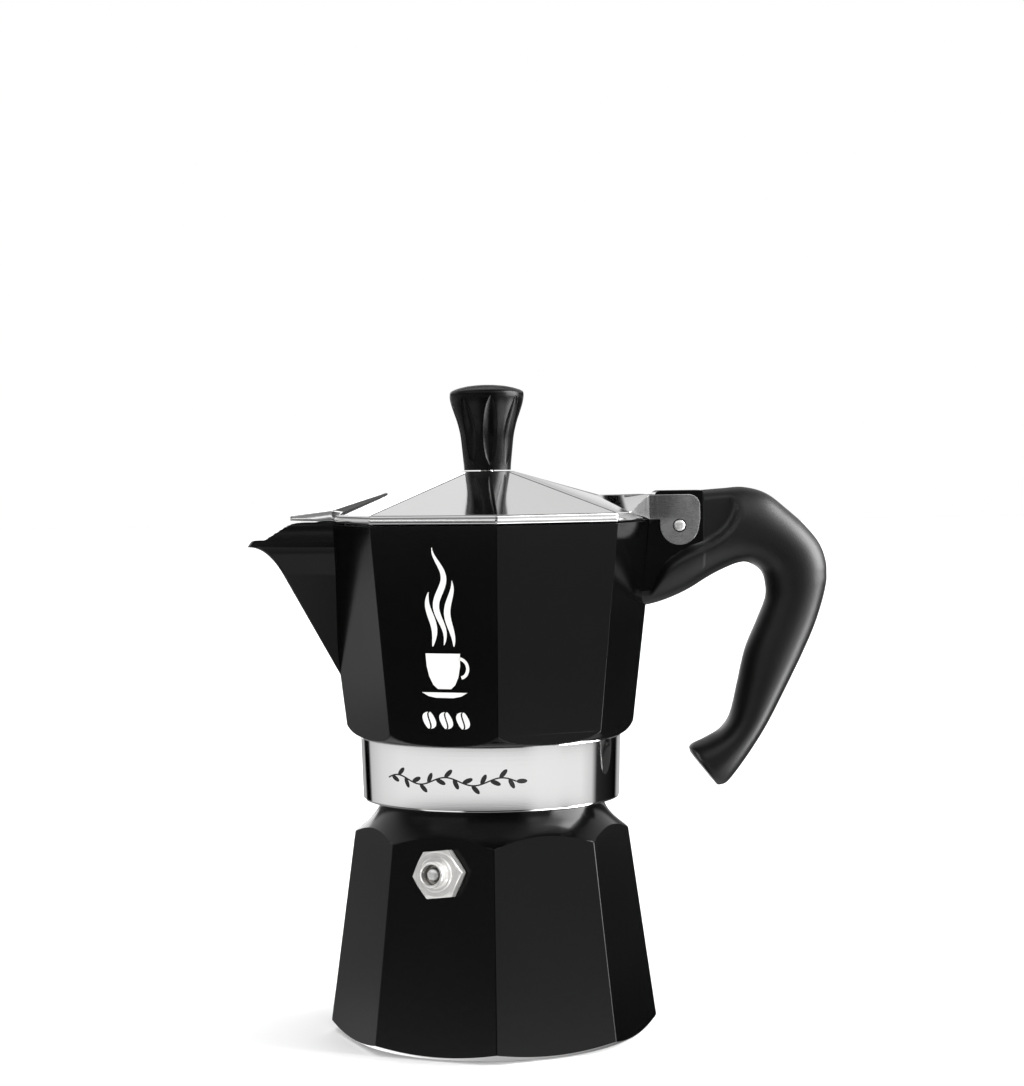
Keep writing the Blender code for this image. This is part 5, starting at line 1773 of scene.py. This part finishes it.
    def build_shell(self) -> Object:
        """Press the lid, fold its ears down, trim it and drill it."""
        shell = self._press()
        for low, high in ((-self.ear_out, -self.ear_in), (self.ear_in, self.ear_out)):
            ear = slab(self._ear(), low, high)
            soften(ear, EDGE, 25.0, 2, clamp=True)
            combine(shell, paint(ear, 1), Join.UNITE)
        self._trim(shell)
        self._drill(shell)
        return shell

    def build(self) -> None:
        """Build the lid."""
        shell = finish_piece(self.build_shell(), "lid", 28.0)
        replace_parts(shell, "lid")


@dataclass
class Knob:
    """Fluted knob with the screw and washer that hold it."""

    shelf: Shelf
    foot_r: float = 6.3 * MM
    rim_r: float = 9.95 * MM
    height: float = 22.9 * MM
    flutes: int = 8
    turn: float = math.radians(4.0)
    flute_depth: float = 0.85 * MM
    flute_middle: float = 10.6 * MM
    flute_reach: float = 9.3 * MM
    flute_r: float = 3.3 * MM
    flute_edge: float = 0.16 * MM
    foot_edge: float = 0.25 * MM

    def profile(self) -> list[Point2]:
        """Side profile as (radius, height above its foot), fine enough for the flutes."""
        knots = ((6.28, 0.0), (6.4, 2.0), (6.85, 6.0), (7.3, 9.6), (8.05, 12.9), (8.8, 15.2),
                 (9.55, 17.6), (9.92, 19.4), (9.95, 20.4))
        side = [(r * MM, z * MM) for r, z in smooth_line(knots, 7)]
        crown = [(9.88, 20.85), (9.6, 21.2), (8.9, 21.55), (7.2, 22.1), (5.0, 22.55), (2.5, 22.8)]
        return [*side, *[(r * MM, z * MM) for r, z in crown]]

    def build(self) -> None:
        """Turn the knob, scoop its flutes, and dress screw and washer."""
        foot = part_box("knob")[0].z
        knob = blank("fluted_knob", lathe([
            (0, foot), (self.foot_r - self.foot_edge, foot),
            *[(r, foot + z) for r, z in self.profile()], (0, foot + self.height)], 128),
            [self.shelf.knob])
        scoops = blank("scoops", self._scoop(foot, 0), [self.shelf.knob])
        for index in range(1, self.flutes):
            combine(scoops, self._scoop(foot, index), Join.UNITE)
        bm = bmesh.new()
        bm.from_mesh(scoops.data)
        bpy.data.objects.remove(scoops)
        combine(knob, bm, Join.CUT)
        bm = bmesh.new()
        bm.from_mesh(knob.data)
        bmesh.ops.remove_doubles(bm, verts=bm.verts, dist=0.02 * MM)
        low, high = foot + 0.5 * MM, foot + 20.0 * MM
        soften(bm, self.flute_edge, 18.0, 2, clamp=True,
               chosen=lambda edge: all(low < v.co.z < high for v in edge.verts))
        bm.to_mesh(knob.data)
        bm.free()
        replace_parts(finish_piece(knob, "lid", 50.0), "knob")
        dress("knob_screw", self.shelf.steel)
        dress("knob_washer", self.shelf.steel)

    def _scoop(self, foot: float, index: int) -> bmesh.types.BMesh:
        """Bowed spindle that scoops one almond flute out of the flared side.

        Args:
            foot: Height of the knob's foot.
            index: Which flute, anticlockwise from the front.

        Returns:
            A closed bmesh.
        """
        rings = sides = 28
        line = []
        for k in range(rings + 1):
            share = 2 * k / rings - 1
            height = self.flute_middle + share * self.flute_reach
            radius = self.flute_r * max(0.02, 1 - share * share) ** 0.8
            out = self._side(height) - self.flute_depth * (1 - share * share) ** 0.5 + radius
            line.append([((out - radius * math.cos(a)), radius * math.sin(a), foot + height)
                         for a in (math.tau * (j + 0.5) / sides for j in range(sides))])
        bm = loft(line)
        angle = self.turn - math.pi / 2 + math.tau * index / self.flutes
        bmesh.ops.rotate(bm, verts=bm.verts, cent=(0, 0, 0),
                         matrix=Matrix.Rotation(angle, 3, "Z"))
        return bm

    def _side(self, height: float) -> float:
        """Radius of the flared side at a height above the foot."""
        points = self.profile()
        for (r_low, z_low), (r_high, z_high) in zip(points, points[1:]):
            if z_low <= height <= z_high:
                return r_low + (r_high - r_low) * (height - z_low) / (z_high - z_low)
        return self.rim_r


# ---------------------------------------------------------------- studio
@dataclass(frozen=True)
class Panel:
    """Bright window of the studio between two directions and two heights."""

    glow: float
    sides: Point2
    heights: Point2
    soft: float


@dataclass
class Studio:
    """Floor, light and camera.

    Directions are in degrees from the front, and heights are the rise of a unit ray. A ring
    lists the brightness all round: the lower and upper ring light the vessels, and the band and
    rim rings take their place in the narrow slots that the collar and the lid's rim mirror.
    """

    eye: Point3 = (-0.030363, -0.656885, 0.150844)
    aim: Point3 = (0.006360, 0.0, 0.130989)
    roll: float = 0.012246
    lens: float = 81.02
    sensor: float = 36.0
    fill: float = 1.13
    lamp_energy: float = 6.0
    lamp_place: Point3 = (0.15, 0.35, 1.2)
    lamp_aim: Point3 = (0, 0, 0.08)
    panels: tuple = (Panel(12.0, (108.0, 62.0), (0.75, -0.09), 4.0),
                     Panel(12.0, (100.0, 76.0), (-0.25, -0.62), 4.0),
                     Panel(1.8, (-160.0, -178.0), (0.30, -0.60), 2.0),
                     Panel(3.2, (74.0, 38.0), (-0.36, -0.60), 6.0),
                     Panel(0.9, (-30.0, -72.0), (-0.345, -0.60), 4.0))
    band_slot: Point2 = (-0.098, -0.152)
    band_tilt: float = 0.06
    rim_slot: Point2 = (-0.002, -0.040)
    ground: float = 0.6
    ceiling: float = 0.80
    front_top: float = 0.80
    lower_ring: tuple = ((-180, 0.20), (-140, 0.30), (-125, 0.28), (-100, 0.18), (-52, 0.07),
                         (-30, 0.06), (-5, 0.04), (26, 0.05), (40, 0.52), (56, 0.52),
                         (66, 0.15), (118, 0.05), (150, 0.03), (180, 0.03))
    upper_ring: tuple = ((-180, 0.25), (-140, 0.13), (-100, 0.25), (-56, 0.25),
                         (-36, 0.24), (-5, 0.06), (24, 0.06), (38, 0.76), (50, 0.76),
                         (62, 0.15), (118, 0.05), (150, 0.05), (180, 0.2))
    band_ring: tuple = ((-180, 0.45), (-157, 0.40), (-153, 0.0), (-141, 0.0), (-137, 0.58),
                        (-115, 0.78), (-90, 0.90), (0, 0.96), (84, 0.90), (98, 0.68),
                        (105, 0.02), (144, 0.0), (151, 0.45), (170, 0.60))
    rim_ring: tuple = ((-180, 0.30), (-140, 0.60), (-115, 0.85), (-60, 1.35), (-30, 1.30),
                       (-8, 0.35), (22, 0.35), (34, 2.2), (66, 2.2), (100, 1.2), (125, 0.7),
                       (180, 0.6))

    def build_camera(self) -> None:
        """Set the camera at the object's left front, a little above it."""
        data = bpy.data.cameras.new("camera")
        data.lens, data.sensor_width = self.lens, self.sensor
        camera = bpy.data.objects.new("camera", data)
        forward = (Vector(self.aim) - Vector(self.eye)).normalized()
        right = forward.cross(Vector((0, 0, 1))).normalized()
        up = right.cross(forward)
        c, s = math.cos(self.roll), math.sin(self.roll)
        basis = Matrix((c * right - s * up, s * right + c * up, -forward)).transposed()
        camera.matrix_world = Matrix.Translation(self.eye) @ basis.to_4x4()
        bpy.context.scene.collection.objects.link(camera)
        bpy.context.scene.camera = camera

    def build_floor(self) -> None:
        """Lay a plain pale floor, which glossy surfaces don't mirror."""
        bm = bmesh.new()
        bmesh.ops.create_grid(bm, x_segments=1, y_segments=1, size=6.0)
        mesh = bpy.data.meshes.new("floor")
        bm.to_mesh(mesh)
        bm.free()
        floor = bpy.data.objects.new("floor", mesh)
        floor.location.z = -0.02 * MM
        floor.visible_glossy = False
        made, g = new_graph("pale_floor")
        g.end(g.node("ShaderNodeBsdfDiffuse", {}, {"Color": grey(0.92)}))
        mesh.materials.append(made)
        bpy.context.scene.collection.objects.link(floor)

    def build_world(self) -> None:
        """Surround the pot with white for the eye and soft studio panels for mirrors."""
        world = bpy.data.worlds.new("studio")
        world.use_nodes = True
        bpy.context.scene.world = world
        g = Graph(world.node_tree)
        x, y, z = g.axes(g.node("ShaderNodeTexCoord", output="Generated"))
        side = x.math("ARCTAN2", -1.0 * y) * math.degrees(1.0)
        lower = self._round(g, side, self.lower_ring)
        upper = self._round(g, side, self.upper_ring)
        high = z.ramp(-0.12, 0.0)
        light = lower * (1 - high) + upper * high
        for panel in self.panels:
            light = light + panel.glow * self._window(side, *panel.sides, panel.soft) \
                * self._window(z, *panel.heights)
        light = light + self.ground * (1 - z.ramp(-0.72, -0.52))
        light = light + self.ceiling * y.ramp(0.15, 0.6) * z.ramp(0.13, 0.24) * (1.12 - 0.7 * z)
        light = light + self.front_top * (1 - y.ramp(-0.3, 0.2)) * self._window(
            z, 0.80, 0.40, 0.08)
        light = light * (1 - side.math("ABSOLUTE").ramp(160.0, 170.0) * self._window(
            z, 0.49, 0.30))
        tilt = z + self.band_tilt * (side * math.radians(0.5)).math("COSINE")
        for ring, height, ends in ((self.band_ring, tilt, self.band_slot),
                                   (self.rim_ring, z, self.rim_slot)):
            slot = self._window(height, *ends, 0.006)
            light = light * (1 - slot) + self._round(g, side, ring) * slot
        eye = g.node("ShaderNodeLightPath", output="Is Camera Ray")
        soft = g.node("ShaderNodeLightPath", output="Is Diffuse Ray")
        mirror = (1 - eye) * (1 - soft)
        strength = light * mirror + eye + self.fill * soft
        shader = g.node("ShaderNodeBackground", {}, {"Color": grey(1.0), "Strength": strength})
        out = world.node_tree.nodes.new("ShaderNodeOutputWorld")
        world.node_tree.links.new(shader.link, out.inputs["Surface"])

    @staticmethod
    def _round(g: Graph, side: Socket, stops: Sequence[Point2]) -> Socket:
        """Brightness by direction, from stops of (degrees from the front, value)."""
        ramp = g.node("ShaderNodeValToRGB", {"stops": [
            ((degrees + 180) / 360, grey(value)) for degrees, value in stops]},
            {0: (side + 180.0) / 360.0})
        return ramp * 1.0

    @staticmethod
    def _window(value: Socket, top: float, low: float, soft: float = 0.012) -> Socket:
        """Return 1 between two values, with soft ends."""
        return value.ramp(low - soft, low + soft) * (1 - value.ramp(top - soft, top + soft))

    def build_lights(self) -> None:
        """Hang one broad soft panel over the pot."""
        data = bpy.data.lights.new("top_panel", "AREA")
        data.shape = "RECTANGLE"
        data.size, data.size_y = 1.6, 1.2
        data.energy = self.lamp_energy
        place = Vector(self.lamp_place)
        lamp = bpy.data.objects.new("top_panel", data)
        lamp.location = place
        toward = Vector(self.lamp_aim) - place
        lamp.rotation_euler = toward.to_track_quat("-Z", "Y").to_euler()
        lamp.visible_camera = False
        lamp.visible_glossy = False
        bpy.context.scene.collection.objects.link(lamp)

    def build(self) -> None:
        """Set up the whole studio."""
        bpy.context.scene.view_settings.view_transform = "Standard"
        self.build_camera()
        self.build_floor()
        self.build_world()
        self.build_lights()


def main() -> None:
    """Build the studio and every sub-assembly, in order."""
    logging.basicConfig(level=logging.INFO, format="%(message)s")
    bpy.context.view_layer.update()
    Studio().build()
    shelf = Shelf()
    boiler = Boiler(shelf)
    collector = Collector(shelf)
    for part in (boiler, Valve(shelf, boiler.walls), Basket(shelf), Seal(shelf), collector,
                 Column(shelf), Handle(shelf, collector.walls), Pins(shelf), Lid(shelf),
                 Knob(shelf)):
        log.info("building %s", type(part).__name__)
        part.build()


if __name__ == "__main__":
    main()
